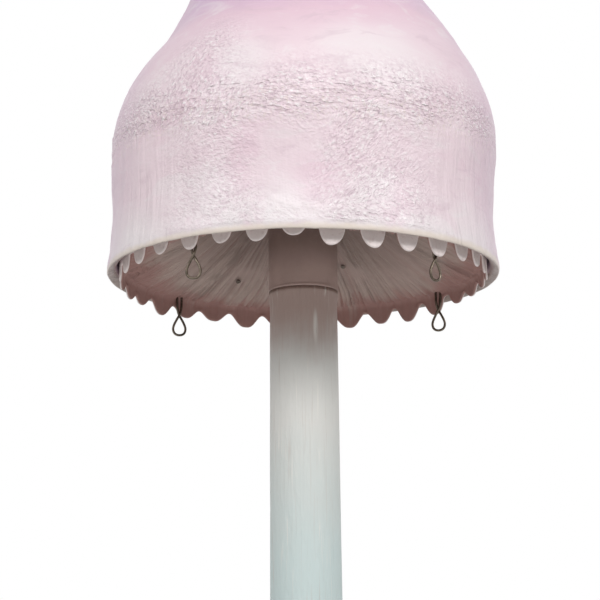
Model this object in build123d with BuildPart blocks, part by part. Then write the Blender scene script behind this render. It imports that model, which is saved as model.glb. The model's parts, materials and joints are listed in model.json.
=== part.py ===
from build123d import *
import os
from math import cos, hypot, pi, radians, sin, sqrt

# Mushroom floor lamp. Millimetres and degrees. Z is up, z = 0 is the floor, the stem stands on the
# Z axis and the front of the lamp looks along -Y. Heights called "rise" start at the lip of the cap.

# ---------------------------------------------------------------- driving dimensions: the cap
rim_height = 1000.0  # floor to the lowest point of the lip
lip_radius = 255.5  # outermost radius, at the rolled lip
lip_round = 6.5  # radius of the rolled edge
cap_wall = 6.0  # laminate
rim_band_height = 36.0  # the thickened band above the lip
# Outline of the bell: how far in from the lip's radius it lies at a rise above the lip
band_inset, band_rise = 5.1, 70.0
shoulder_inset, shoulder_rise = 1.1, 168.0
bell_inset, bell_rise = 41.0, 280.0
waist_inset, waist_rise = 90.9, 360.0
crown_inset, crown_rise = 139.5, 450.0
cap_rise = 525.0  # lip to crown
rim_lean = 0.12  # how far the outline leans in at the lip, per unit of height

# The gill panel: a shallow bowl of radial gills with a scalloped skirt
skirt_gap = 3.5  # between the skirt and the inside of the lip
skirt_wall = 4.0
skirt_drop = 20.6  # tips of the scallops, below the lip
valley_drop = 4.0  # valleys between them
scallop_count = 32
tip_flat = 4.0  # straight part of each tip
scallop_phase = 267.2  # where one tip stands, counterclockwise from +X
gill_rim_rise = 4.0  # gills meet the skirt
gill_hub_rise = 115.0  # gills meet the collar
gill_sag = 8.0  # how far the gills belly down between the two
gill_wall = 6.0
gill_count = 64
gill_groove_angle = 2.2  # width of one groove between two gills
gill_groove_depth = 2.0
gill_groove_stop = 1.5  # grooves end short of the skirt
flange_foot_rise = 10.0  # the bonded edge of the panel, above the skirt
flange_height = 16.0
bond_line = 0.3  # adhesive between the panel and the shell
hub_boss_radius = 78.0
hub_wall = 6.0

# The collar under the gills
collar_bore = 40.3
collar_wall = 4.7
collar_drop = 23.0  # its lower edge, the visible joint line, below the lip
collar_flange_radius = 72.0
collar_flange_wall = 6.0
collar_screw_circle = 62.0
collar_screw_count = 6
collar_screw_radius = 2.4
collar_screw_length = 16.0

# Stiffening ring behind the gills, and the four screws that hold the gills to it
ring_bore = 136.0
ring_wall = 12.0
ring_rise = 64.0
ring_clearance = 0.6
gill_screw_spots = ((149.0, 68.3), (179.0, 120.0), (168.0, 242.0), (168.0, 298.0))  # radius, angle
gill_screw_radius = 2.0
screw_recess = 1.0  # the heads lie this far behind the gills
screw_grip = 0.8  # share of the last wall that a screw reaches into
gill_boss_radius = 8.0
screw_head_radius = 4.0
screw_head_height = 2.4
screw_clearance = 0.1

# The bent-wire eyes below the gills: place round the cap and way each loop faces, from +X
eye_wire = 1.55  # radius of the wire
eye_inset = 8.0  # from the outside of the skirt
eye_places = {
    "eye_front_left": (234.8, 262.0),
    "eye_front_right": (314.3, 312.7),
    "eye_rear_right": (36.9, 75.0),
    "eye_rear_left": (137.7, 105.0),
}
eye_drop = 48.5  # bottom of each loop, below the lip
eye_loop_radius = 9.2  # centre line of the round end
eye_loop_length = 30.0  # from the pinch to the bottom, outside
eye_leg_gap = 6.4  # between the centre lines of the legs
eye_pinch_gap = 3.6  # between the centre lines at the pinch
eye_pinch_rise = 8.0  # legs start to draw together, above the pinch
eye_side_rise = 1.5  # the loop is widest this far above its round end's centre
eye_leg_bend = 7.0
eye_side_bend = 8.0
eye_end_bend = 8.9
eye_boss_radius = 7.5
eye_boss_rise = 26.0
eye_embed = 16.0  # how far the legs run up into the panel
glue_clearance = 0.1
cut_margin = 2.0  # how far a cut runs past the face that it opens

# ---------------------------------------------------------------- driving dimensions: the stem
stem_top_radius = 44.0
stem_foot_radius = 48.4
stem_bore = 40.0
spigot_clearance = 0.2
spigot_wall = 4.0
spigot_depth = 110.0  # bonded in the stem
spigot_rise = 120.0  # standing up into the collar
ledge_depth = 9.0
ledge_width = 2.0
pin_radius = 3.0
pin_rise = 70.0  # above the joint line
pin_reach = 2.8  # proud of the spigot
keyway_clearance = 0.35

# ---------------------------------------------------------------- driving dimensions: the lampholder
bracket_wall = 3.0
bracket_hole_circle = 25.7
bracket_hole_radius = 4.5
bracket_hole_count = 4
snap_ring_height = 2.0
snap_ring_width = 2.6
snap_groove_depth = 0.9
snap_ring_gap_angle = 40.0
fit_clearance = 0.15
nipple_radius = 5.0
nipple_bore = 3.9
nipple_below = 9.0
nipple_above = 12.0
nut_flat_radius = 8.5
nut_height = 4.0
holder_radius = 20.0
holder_wall = 2.2
cup_height = 26.0
cup_floor = 3.0
cup_foot_radius = 16.0  # the cup's flat underside
cup_slope_height = 7.8
insert_height = 10.0
insert_setback = 4.0  # below the cup's mouth
insert_hole_radius = 1.6
insert_hole_reach = 8.8
insert_ledge = 2.2
contact_radius = 4.0
contact_height = 1.6
screw_shell_wall = 0.5
skirt_ring_height = 28.0
bulb_cap_radius = 13.2
bulb_cap_height = 26.0
bulb_tip_radius = 4.5
bulb_tip_height = 2.0
bulb_body_height = 45.0
bulb_radius = 30.0
globe_wall = 1.2
bulb_clearance = 0.3

# ---------------------------------------------------------------- driving dimensions: the foot
pad_height = 6.0
pad_radius = 14.0
pad_chamfer = 1.0
pad_inset = 42.0  # from the foot's radius
pad_count = 4
plate_wall = 12.0
foot_radius = 192.0
foot_wall = 5.0
foot_gap = 2.0  # the shell's lower edge, above the top of the pads
plinth_height = 50.0  # the foot's short upright edge
flare_radius, flare_height = 96.0, 140.0
ankle_radius, ankle_height = 63.0, 200.0
foot_top = 262.0
foot_edge = 2.4  # thickness of the shell's upper edge
foot_clearance = 0.3  # between that edge and the stem
foot_boss_radius = 8.0
foot_boss_inset = 27.0  # from the foot's radius
foot_screw_count = 4
foot_screw_angle = 45.0
foot_screw_radius = 2.0
foot_screw_head = 4.2
foot_screw_length = 30.0
socket_flange_radius = 85.0
socket_flange_wall = 10.0
socket_height = 150.0
socket_wall = 4.5
socket_screw_circle = 66.0
socket_screw_count = 4
socket_screw_radius = 4.0
socket_screw_head = 7.6
stem_screw_count = 3
stem_screw_angle = 30.0
stem_screw_height = 110.0
stem_screw_radius = 2.5
stem_screw_head = 4.6
stem_screw_sink = 0.4  # the heads lie this far below the paint
stem_screw_proud = 2.0  # the points show this far inside the socket

# ---------------------------------------------------------------- driving dimensions: the wiring
lead_radius = 3.0
lead_entry_height = 44.0  # where the lead passes through the wall of the stem
lead_tail = 7.0  # how far the lead enters the terminal block
lead_straight = 26.0  # from the block to its first bend
lead_swing = 22.0  # from there to the bend behind the stem
lead_end_gap = 5.0  # the lead ends this far above the cup's floor
lead_bends = [26.0, 30.0, 32.0]
grommet_radius = 8.0
grommet_lip = 2.5
grommet_lip_wall = 2.0
grommet_inside = 1.0
lead_clearance = 0.3
block_length, block_width, block_height = 34.0, 24.0, 17.0
block_x = 52.0
block_inset = 52.0  # from the foot's radius, behind the stem
block_hole_depth = 8.0
block_screw_radius = 1.5
block_screw_head = 3.0
block_screw_length = 26.0
gland_height = 34.0
spot_face_depth = 0.8
spot_face_radius = 14.0
gland_thread_radius = 8.0
gland_hex_radius = 11.0
gland_hex_height = 5.0
gland_inside = 12.0
gland_outside = 11.0
gland_bore = 5.6
seal_bore = 3.6
seal_length = 10.0
dome_length = 15.0
dome_radius = 10.5
dome_bore = 4.4
dome_fillet = 3.5
locknut_height = 4.0

# ---------------------------------------------------------------- places worked out from the sizes
joint_height = rim_height - collar_drop
collar_radius = collar_bore + collar_wall
rim_bore = lip_radius - 2 * lip_round
skirt_radius = rim_bore - skirt_gap
eye_circle = skirt_radius - eye_inset
pad_circle = foot_radius - pad_inset
foot_boss_circle = foot_radius - foot_boss_inset
block_y = foot_radius - block_inset
plate_top = pad_height + plate_wall
foot_base = pad_height + foot_gap
plate_radius = foot_radius - foot_wall - screw_clearance
socket_radius = stem_bore - spigot_clearance
socket_bore = socket_radius - socket_wall
flange_top = plate_top + socket_flange_wall
spigot_radius = stem_bore - spigot_clearance
spigot_bore = spigot_radius - spigot_wall
spigot_top = joint_height + spigot_rise
ledge_height = spigot_top - ledge_depth
bracket_top = ledge_height + bracket_wall
cup_base = bracket_top + nut_height
insert_base = cup_base + cup_height - insert_height - insert_setback
insert_top = insert_base + insert_height
bulb_base = insert_top + contact_height
bulb_cap_top = bulb_base + bulb_tip_height + bulb_cap_height

gill_run = skirt_radius - skirt_wall - collar_radius
gill_climb = gill_hub_rise - gill_rim_rise
gill_chord = hypot(gill_run, gill_climb)
gill_arc = (gill_chord**2 / 4 + gill_sag**2) / (2 * gill_sag)
gill_centre_run = gill_run / 2 - (gill_arc - gill_sag) * gill_climb / gill_chord
gill_centre_climb = gill_climb / 2 + (gill_arc - gill_sag) * gill_run / gill_chord


def gill_surface(radius, lift=0.0):
    """Height of the gills' underside at a radius, or of the layer that lies lift above it."""
    run = skirt_radius - skirt_wall - radius
    drop = sqrt((gill_arc - lift) ** 2 - (run - gill_centre_run) ** 2)
    return rim_height + gill_rim_rise + gill_centre_climb - drop


def stem_surface(height):
    """Outer radius of the tapered stem at a height."""
    share = (height - flange_top) / (joint_height - flange_top)
    return stem_foot_radius + (stem_top_radius - stem_foot_radius) * share


def ring(outer, inner, height):
    """A plain tube standing on z = 0."""
    with BuildPart() as tube:
        Cylinder(outer, height, align=(Align.CENTER, Align.CENTER, Align.MIN))
        Cylinder(inner, height, align=(Align.CENTER, Align.CENTER, Align.MIN), mode=Mode.SUBTRACT)
    return tube.part


def lifted(shape, height):
    """The shape moved up to a height."""
    return shape.moved(Location((0, 0, height)))


def write(shape, label):
    """Labels one finished piece and writes its file."""
    shape.label = label
    export_step(shape, f"parts/{label}.step")


os.makedirs("parts", exist_ok=True)

# ---------------------------------------------------------------- cap shell
cap_outline = Spline(
    (lip_radius, rim_height + lip_round),
    (lip_radius - band_inset, rim_height + band_rise),
    (lip_radius - shoulder_inset, rim_height + shoulder_rise),
    (lip_radius - bell_inset, rim_height + bell_rise),
    (lip_radius - waist_inset, rim_height + waist_rise),
    (lip_radius - crown_inset, rim_height + crown_rise),
    (0, rim_height + cap_rise),
    tangents=((-rim_lean, 1), (-1, 0)),
)
wall_stations = 18
first_wall_station = 3  # nearer the lip the wall is the straight band
wall_points = []
for station in range(first_wall_station, wall_stations + 1):
    along = station / wall_stations
    point = cap_outline @ along
    heading = cap_outline % along
    wall_points.append((point.X - heading.Y * cap_wall, point.Y + heading.X * cap_wall))
wall_points[-1] = (0, rim_height + cap_rise - cap_wall)

with BuildPart() as cap_shell:
    with BuildSketch(Plane.XZ):
        with BuildLine():
            add(cap_outline)
            Line(cap_outline @ 1, wall_points[-1])
            inside = Spline(*reversed(wall_points), tangents=((1, 0), (rim_lean, -1)))
            Polyline(
                inside @ 1,
                (rim_bore, rim_height + rim_band_height),
                (rim_bore, rim_height + lip_round),
                cap_outline @ 0,
            )
        make_face()
        with Locations((lip_radius - lip_round, rim_height + lip_round)):
            Circle(lip_round)
    revolve(axis=Axis.Z)
write(cap_shell.part, "cap_shell")

# ---------------------------------------------------------------- gill panel with its scalloped skirt
skirt_bore = skirt_radius - skirt_wall
flange_radius = rim_bore - bond_line
skirt_foot = rim_height - skirt_drop
flange_foot = rim_height + flange_foot_rise
panel_bore = collar_radius + glue_clearance
panel_top = gill_surface(panel_bore) + hub_wall
middle = (skirt_bore + panel_bore) / 2

# One gap between two scallops, cut through the skirt from inside to outside
gap_half = pi * skirt_radius / scallop_count - tip_flat / 2
gap_crown = rim_height - valley_drop
gap_foot = skirt_foot - cut_margin
with BuildPart() as scallop_gap:
    with BuildSketch(Plane.YZ.offset(skirt_bore - cut_margin)):
        with BuildLine():
            Spline(
                (-gap_half, skirt_foot),
                (-gap_half / 2, (skirt_foot + gap_crown) / 2),
                (0, gap_crown),
                (gap_half / 2, (skirt_foot + gap_crown) / 2),
                (gap_half, skirt_foot),
                tangents=((1, 0.25), (1, -0.25)),
            )
            Polyline(
                (gap_half, skirt_foot),
                (gap_half, gap_foot),
                (-gap_half, gap_foot),
                (-gap_half, skirt_foot),
            )
        make_face()
    extrude(amount=skirt_wall + 2 * cut_margin)

# One groove between two gills
groove_start, groove_end = hub_boss_radius, skirt_bore - gill_groove_stop
with BuildPart() as gill_groove:
    with BuildSketch(Plane.XZ):
        with BuildLine():
            ThreePointArc(
                (groove_start, gill_surface(groove_start, gill_groove_depth)),
                (middle, gill_surface(middle, gill_groove_depth)),
                (groove_end, gill_surface(groove_end, gill_groove_depth)),
            )
            Line(
                (groove_end, gill_surface(groove_end, gill_groove_depth)),
                (groove_end, gill_surface(groove_end, -cut_margin)),
            )
            ThreePointArc(
                (groove_end, gill_surface(groove_end, -cut_margin)),
                (middle, gill_surface(middle, -cut_margin)),
                (groove_start, gill_surface(groove_start, -cut_margin)),
            )
            Line(
                (groove_start, gill_surface(groove_start, -cut_margin)),
                (groove_start, gill_surface(groove_start, gill_groove_depth)),
            )
        make_face()
    revolve(axis=Axis.Z, revolution_arc=gill_groove_angle)

# The space under the gills, which trims whatever is added behind them
with BuildPart() as under_gills:
    with BuildSketch(Plane.XZ):
        with BuildLine():
            ThreePointArc(
                (skirt_bore, gill_surface(skirt_bore)),
                (middle, gill_surface(middle)),
                (panel_bore, gill_surface(panel_bore)),
            )
            Polyline(
                (panel_bore, gill_surface(panel_bore)),
                (panel_bore, gap_foot),
                (skirt_bore, gap_foot),
                (skirt_bore, gill_surface(skirt_bore)),
            )
        make_face()
    revolve(axis=Axis.Z)

eye_boss_top = rim_height + eye_boss_rise
eye_leg_top = gill_surface(eye_circle) + eye_embed
ring_foot = rim_height + ring_rise
ring_screw_top = ring_foot + screw_grip * ring_wall
screw_hole = gill_screw_radius + screw_clearance
collar_screw_hole = collar_screw_radius + screw_clearance
gill_screw_places = [
    (radius * cos(radians(angle)), radius * sin(radians(angle))) for radius, angle in gill_screw_spots
]
pocket_tops = [gill_surface(radius) + screw_head_height + screw_recess for radius, angle in gill_screw_spots]


def eye_centre(place):
    """Where an eye stands, from its angle round the cap."""
    return (eye_circle * cos(radians(place)), eye_circle * sin(radians(place)))


def eye_legs(place, facing):
    """Where the two legs of an eye enter the panel. The loop lies square to the way it faces."""
    x, y = eye_centre(place)
    across = radians(facing + 90)
    reach = eye_leg_gap / 2
    return [(x + side * reach * cos(across), y + side * reach * sin(across)) for side in (-1, 1)]


with BuildPart() as gill_panel:
    with BuildSketch(Plane.XZ):
        with BuildLine():
            back_foot = skirt_bore + skirt_wall / 2
            Polyline(
                (panel_bore, gill_surface(panel_bore)),
                (panel_bore, panel_top),
                (hub_boss_radius, panel_top),
                (hub_boss_radius, gill_surface(hub_boss_radius, gill_wall)),
            )
            ThreePointArc(
                (hub_boss_radius, gill_surface(hub_boss_radius, gill_wall)),
                (middle, gill_surface(middle, gill_wall)),
                (back_foot, gill_surface(back_foot, gill_wall)),
            )
            Polyline(
                (back_foot, gill_surface(back_foot, gill_wall)),
                (back_foot, flange_foot + flange_height),
                (flange_radius, flange_foot + flange_height),
                (flange_radius, flange_foot),
                (skirt_radius, flange_foot),
                (skirt_radius, skirt_foot),
                (skirt_bore, skirt_foot),
                (skirt_bore, gill_surface(skirt_bore)),
            )
            ThreePointArc(
                (skirt_bore, gill_surface(skirt_bore)),
                (middle, gill_surface(middle)),
                (panel_bore, gill_surface(panel_bore)),
            )
        make_face()
    revolve(axis=Axis.Z)
    with BuildSketch(Plane.XY.offset(eye_boss_top)):
        for place, facing in eye_places.values():
            with Locations(eye_centre(place)):
                Circle(eye_boss_radius)
    extrude(amount=-eye_boss_rise)
    with BuildSketch(Plane.XY.offset(ring_foot)):
        with Locations(*gill_screw_places):
            Circle(gill_boss_radius)
    extrude(amount=-ring_rise)
    add(under_gills.part, mode=Mode.SUBTRACT)
    with PolarLocations(0, scallop_count, start_angle=scallop_phase + 180 / scallop_count):
        add(scallop_gap.part, mode=Mode.SUBTRACT)
    with PolarLocations(0, gill_count):
        add(gill_groove.part, mode=Mode.SUBTRACT)
    with BuildSketch(Plane.XY.offset(eye_leg_top + glue_clearance)):
        for place, facing in eye_places.values():
            with Locations(*eye_legs(place, facing)):
                Circle(eye_wire + glue_clearance)
    extrude(amount=skirt_foot - eye_leg_top, mode=Mode.SUBTRACT)
    for screw_place, pocket_top in zip(gill_screw_places, pocket_tops):
        with BuildSketch(Plane.XY.offset(pocket_top)):
            with Locations(screw_place):
                Circle(screw_head_radius + screw_clearance)
        extrude(amount=skirt_foot - pocket_top, mode=Mode.SUBTRACT)
    with BuildSketch(Plane.XY.offset(ring_foot)):
        with Locations(*gill_screw_places):
            Circle(screw_hole)
    extrude(amount=skirt_foot - ring_foot, mode=Mode.SUBTRACT)
    with BuildSketch(Plane.XY.offset(panel_top)):
        with PolarLocations(collar_screw_circle, collar_screw_count):
            Circle(collar_screw_hole)
    extrude(amount=collar_flange_wall - collar_screw_length - screw_clearance, mode=Mode.SUBTRACT)
write(gill_panel.part, "gill_panel")

# ---------------------------------------------------------------- collar sleeve under the gills
flange_face = panel_top + collar_flange_wall
keyway_width = 2 * (pin_radius + keyway_clearance)
keyway_reach = spigot_radius + pin_reach + keyway_clearance
keyway_top = joint_height + pin_rise + pin_radius + keyway_clearance
with BuildPart() as collar_sleeve:
    with BuildSketch(Plane.XZ):
        with BuildLine():
            Polyline(
                (collar_bore, joint_height),
                (collar_radius, joint_height),
                (collar_radius, panel_top),
                (collar_flange_radius, panel_top),
                (collar_flange_radius, flange_face),
                (collar_bore, flange_face),
                close=True,
            )
        make_face()
    revolve(axis=Axis.Z)
    with BuildSketch(Plane.XY.offset(joint_height)):
        with Locations((0, keyway_reach / 2)):
            Rectangle(keyway_width, keyway_reach)
    extrude(amount=keyway_top - joint_height, mode=Mode.SUBTRACT)
    with BuildSketch(Plane.XY.offset(flange_face)):
        with PolarLocations(collar_screw_circle, collar_screw_count):
            Circle(collar_screw_hole)
    extrude(amount=-collar_flange_wall, mode=Mode.SUBTRACT)
write(collar_sleeve.part, "collar_sleeve")

with BuildPart() as collar_screws:
    with BuildSketch(Plane.XY.offset(flange_face)):
        with PolarLocations(collar_screw_circle, collar_screw_count):
            Circle(screw_head_radius)
    extrude(amount=screw_head_height)
    with BuildSketch(Plane.XY.offset(flange_face)):
        with PolarLocations(collar_screw_circle, collar_screw_count):
            Circle(collar_screw_radius)
    extrude(amount=-collar_screw_length)
write(collar_screws.part, "collar_screws")

# ---------------------------------------------------------------- stiffening ring behind the gills
with BuildPart() as stiffening_ring:
    with BuildSketch(Plane.XY.offset(ring_foot)):
        Circle(rim_bore - ring_clearance)
        Circle(ring_bore, mode=Mode.SUBTRACT)
    extrude(amount=ring_wall)
    with BuildSketch(Plane.XY.offset(ring_foot)):
        with Locations(*gill_screw_places):
            Circle(screw_hole)
    extrude(amount=screw_grip * ring_wall + screw_clearance, mode=Mode.SUBTRACT)
write(stiffening_ring.part, "stiffening_ring")

with BuildPart() as gill_screws:
    for screw_place, pocket_top in zip(gill_screw_places, pocket_tops):
        with BuildSketch(Plane.XY.offset(pocket_top)):
            with Locations(screw_place):
                Circle(screw_head_radius)
        extrude(amount=-screw_head_height)
        with BuildSketch(Plane.XY.offset(pocket_top)):
            with Locations(screw_place):
                Circle(gill_screw_radius)
        extrude(amount=ring_screw_top - pocket_top)
write(gill_screws.part, "gill_screws")


# ---------------------------------------------------------------- bent-wire eyes below the gills
def wire_eye(place, facing):
    """A hanging eye: two legs that draw together at a pinch and open into a drop-shaped loop."""
    x, y = eye_centre(place)
    face = Plane(
        origin=(x, y, rim_height - eye_drop + eye_wire + eye_loop_radius),
        x_dir=(cos(radians(facing + 90)), sin(radians(facing + 90)), 0),
        z_dir=(-cos(radians(facing)), -sin(radians(facing)), 0),
    )
    up = -1 if face.y_dir.Z < 0 else 1
    pinch = eye_loop_length - eye_wire - eye_loop_radius
    half_gap, half_legs = eye_pinch_gap / 2, eye_leg_gap / 2
    leg_foot = pinch + eye_pinch_rise
    leg_top = eye_leg_top - face.origin.Z
    bends = (eye_leg_bend, eye_leg_bend, eye_side_bend, eye_end_bend)
    with BuildPart() as wire:
        with BuildLine(face) as route:
            FilletPolyline(
                (-half_legs, up * leg_top),
                (-half_legs, up * leg_foot),
                (-half_gap, up * pinch),
                (-eye_loop_radius, up * eye_side_rise),
                (-eye_loop_radius, up * -eye_loop_radius),
                (eye_loop_radius, up * -eye_loop_radius),
                (eye_loop_radius, up * eye_side_rise),
                (half_gap, up * pinch),
                (half_legs, up * leg_foot),
                (half_legs, up * leg_top),
                radius=bends + bends[::-1],
            )
        with BuildSketch(Plane(route.line @ 0, z_dir=route.line % 0)):
            Circle(eye_wire)
        sweep()
    return wire.part


for label, (place, facing) in eye_places.items():
    write(wire_eye(place, facing), label)

# ---------------------------------------------------------------- stem tube
with BuildPart() as lead_notch:
    with BuildSketch(Plane.XZ.offset(-socket_bore / 2)):
        with Locations((0, lead_entry_height)):
            Circle(grommet_radius + lead_clearance)
        with Locations((0, (flange_top + lead_entry_height) / 2)):
            Rectangle(2 * (grommet_radius + lead_clearance), lead_entry_height - flange_top)
    extrude(amount=-stem_foot_radius)

screw_seat = stem_surface(stem_screw_height)
with BuildPart() as stem_screw:
    with BuildSketch(Plane.YZ.offset(socket_bore - stem_screw_proud)):
        with Locations((0, stem_screw_height)):
            Circle(stem_screw_radius)
    extrude(amount=screw_seat - socket_bore)
    with BuildSketch(Plane.YZ.offset(screw_seat - stem_screw_sink)):
        with Locations((0, stem_screw_height)):
            Circle(stem_screw_head)
    extrude(amount=stem_screw_radius - stem_screw_head, taper=45)

with BuildPart() as stem_screw_hole:
    with BuildSketch(Plane.YZ.offset(socket_bore - stem_screw_proud - cut_margin)):
        with Locations((0, stem_screw_height)):
            Circle(stem_screw_radius + screw_clearance)
    extrude(amount=stem_foot_radius)
    with BuildSketch(Plane.YZ.offset(screw_seat - stem_screw_sink + screw_clearance)):
        with Locations((0, stem_screw_height)):
            Circle(stem_screw_head + screw_clearance)
    extrude(amount=stem_screw_radius - stem_screw_head, taper=45)
    with BuildSketch(Plane.YZ.offset(screw_seat - stem_screw_sink + screw_clearance)):
        with Locations((0, stem_screw_height)):
            Circle(stem_screw_head + screw_clearance)
    extrude(amount=cut_margin)

with BuildPart() as stem_tube:
    with BuildSketch(Plane.XZ):
        with BuildLine():
            Polyline(
                (stem_bore, flange_top),
                (stem_foot_radius, flange_top),
                (stem_top_radius, joint_height),
                (stem_bore, joint_height),
                close=True,
            )
        make_face()
    revolve(axis=Axis.Z)
    add(lead_notch.part, mode=Mode.SUBTRACT)
    with PolarLocations(0, stem_screw_count, start_angle=stem_screw_angle):
        add(stem_screw_hole.part, mode=Mode.SUBTRACT)
write(stem_tube.part, "stem_tube")

with BuildPart() as stem_screws:
    with PolarLocations(0, stem_screw_count, start_angle=stem_screw_angle):
        add(stem_screw.part)
write(stem_screws.part, "stem_screws")

# ---------------------------------------------------------------- spigot that the cap slides over
ledge_bore = spigot_bore + ledge_width
with BuildPart() as pin_hole:
    with BuildSketch(Plane.XZ.offset(-spigot_bore + cut_margin)):
        with Locations((0, joint_height + pin_rise)):
            Circle(pin_radius + glue_clearance / 2)
    extrude(amount=-spigot_wall - 2 * cut_margin)

with BuildPart() as stem_spigot:
    with BuildSketch(Plane.XZ):
        with BuildLine():
            Polyline(
                (spigot_bore, joint_height - spigot_depth),
                (spigot_radius, joint_height - spigot_depth),
                (spigot_radius, spigot_top),
                (ledge_bore, spigot_top),
                (ledge_bore, bracket_top + snap_ring_height + glue_clearance),
                (ledge_bore + snap_groove_depth, bracket_top + snap_ring_height + glue_clearance),
                (ledge_bore + snap_groove_depth, bracket_top),
                (ledge_bore, bracket_top),
                (ledge_bore, ledge_height),
                (spigot_bore, ledge_height),
                close=True,
            )
        make_face()
    revolve(axis=Axis.Z)
    add(pin_hole.part, mode=Mode.SUBTRACT)
write(stem_spigot.part, "stem_spigot")

with BuildPart() as index_pin:
    with BuildSketch(Plane.XZ.offset(-spigot_bore)):
        with Locations((0, joint_height + pin_rise)):
            Circle(pin_radius)
    extrude(amount=-spigot_wall - pin_reach)
write(index_pin.part, "index_pin")

# ---------------------------------------------------------------- bracket that carries the lampholder
with BuildPart() as lamp_bracket:
    with BuildSketch(Plane.XY.offset(ledge_height)):
        Circle(ledge_bore - fit_clearance)
        Circle(nipple_radius + fit_clearance, mode=Mode.SUBTRACT)
        with PolarLocations(bracket_hole_circle, bracket_hole_count):
            Circle(bracket_hole_radius, mode=Mode.SUBTRACT)
    extrude(amount=bracket_wall)
write(lamp_bracket.part, "lamp_bracket")

snap_ring_radius = ledge_bore + snap_groove_depth - glue_clearance
with BuildPart() as retaining_ring:
    with BuildSketch(Plane.XZ):
        with Locations((snap_ring_radius - snap_ring_width / 2, bracket_top + snap_ring_height / 2)):
            Rectangle(snap_ring_width, snap_ring_height)
    revolve(axis=Axis.Z, revolution_arc=360 - snap_ring_gap_angle)
write(retaining_ring.part, "retaining_ring")

nipple_foot = ledge_height - nipple_below
nipple_length = nipple_below + bracket_wall + nipple_above
write(lifted(ring(nipple_radius, nipple_bore, nipple_length), nipple_foot), "threaded_nipple")

with BuildPart() as nipple_nuts:
    for foot in (ledge_height - nut_height, bracket_top):
        with BuildSketch(Plane.XY.offset(foot)):
            RegularPolygon(nut_flat_radius, 6, major_radius=False)
            Circle(nipple_radius + fit_clearance, mode=Mode.SUBTRACT)
        extrude(amount=nut_height)
write(nipple_nuts.part, "nipple_nuts")

# ---------------------------------------------------------------- lampholder
holder_bore = holder_radius - holder_wall
insert_radius = holder_bore - fit_clearance
cup_top = cup_base + cup_height
with BuildPart() as holder_cup:
    with BuildSketch(Plane.XZ):
        with BuildLine():
            Polyline(
                (nipple_radius + fit_clearance, cup_base),
                (cup_foot_radius, cup_base),
                (holder_radius, cup_base + cup_slope_height),
                (holder_radius, cup_top),
                (holder_bore, cup_top),
                (holder_bore, insert_base),
                (holder_bore - insert_ledge, insert_base),
                (holder_bore - insert_ledge, cup_base + cup_slope_height),
                (cup_foot_radius - holder_wall, cup_base + cup_floor),
                (nipple_radius + fit_clearance, cup_base + cup_floor),
                close=True,
            )
        make_face()
    revolve(axis=Axis.Z)
write(holder_cup.part, "holder_cup")

with BuildPart() as holder_insert:
    with BuildSketch(Plane.XY.offset(insert_base)):
        Circle(insert_radius)
        with Locations((-insert_hole_reach, 0), (insert_hole_reach, 0)):
            Circle(insert_hole_radius, mode=Mode.SUBTRACT)
    extrude(amount=insert_height)
write(holder_insert.part, "holder_insert")

with BuildPart() as holder_contact:
    with BuildSketch(Plane.XY.offset(insert_top)):
        Circle(contact_radius)
    extrude(amount=contact_height)
write(holder_contact.part, "holder_contact")

shell_bore = bulb_cap_radius + bulb_clearance
screw_shell = ring(shell_bore + screw_shell_wall, shell_bore, bulb_cap_height)
write(lifted(screw_shell, insert_top), "holder_screw_shell")
write(lifted(ring(holder_radius, holder_bore, skirt_ring_height), cup_top), "holder_skirt")

# ---------------------------------------------------------------- bulb
with BuildPart() as bulb_screw_cap:
    with BuildSketch(Plane.XY.offset(bulb_base)):
        Circle(bulb_tip_radius)
    extrude(amount=bulb_tip_height)
    with BuildSketch(Plane.XY.offset(bulb_base + bulb_tip_height)):
        Circle(bulb_cap_radius)
    extrude(amount=bulb_cap_height)
write(bulb_screw_cap.part, "bulb_screw_cap")

body_top = bulb_cap_top + bulb_body_height
with BuildPart() as bulb_body:
    with BuildSketch(Plane.XZ):
        with BuildLine():
            Line((0, body_top), (0, bulb_cap_top))
            Line((0, bulb_cap_top), (bulb_cap_radius, bulb_cap_top))
            Spline(
                (bulb_cap_radius, bulb_cap_top),
                (bulb_radius, body_top),
                tangents=((0.2, 1), (0.15, 1)),
            )
            Line((bulb_radius, body_top), (0, body_top))
        make_face()
    revolve(axis=Axis.Z)
write(bulb_body.part, "bulb_body")

with BuildPart() as bulb_globe:
    with BuildSketch(Plane.XZ):
        with BuildLine():
            CenterArc((0, body_top), bulb_radius, 0, 90)
            Line((0, body_top + bulb_radius), (0, body_top + bulb_radius - globe_wall))
            CenterArc((0, body_top), bulb_radius - globe_wall, 0, 90)
            Line((bulb_radius - globe_wall, body_top), (bulb_radius, body_top))
        make_face()
    revolve(axis=Axis.Z)
write(bulb_globe.part, "bulb_globe")

# ---------------------------------------------------------------- base plate and its pads
block_centre = (block_x, block_y)
with BuildPart() as base_plate:
    with BuildSketch(Plane.XY.offset(pad_height)):
        Circle(plate_radius)
    extrude(amount=plate_wall)
    with Locations(Plane(origin=(0, 0, pad_height), x_dir=(1, 0, 0), z_dir=(0, 0, -1))):
        with PolarLocations(socket_screw_circle, socket_screw_count):
            CounterSinkHole(
                socket_screw_radius + screw_clearance,
                socket_screw_head + screw_clearance,
                depth=plate_wall,
            )
        with PolarLocations(foot_boss_circle, foot_screw_count, start_angle=foot_screw_angle):
            CounterSinkHole(
                foot_screw_radius + screw_clearance,
                foot_screw_head + screw_clearance,
                depth=plate_wall,
            )
    with BuildSketch(Plane.XY.offset(plate_top)):
        with Locations(block_centre):
            Circle(block_screw_radius + screw_clearance)
    extrude(amount=block_height - block_screw_length - screw_clearance, mode=Mode.SUBTRACT)
write(base_plate.part, "base_plate")

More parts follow.
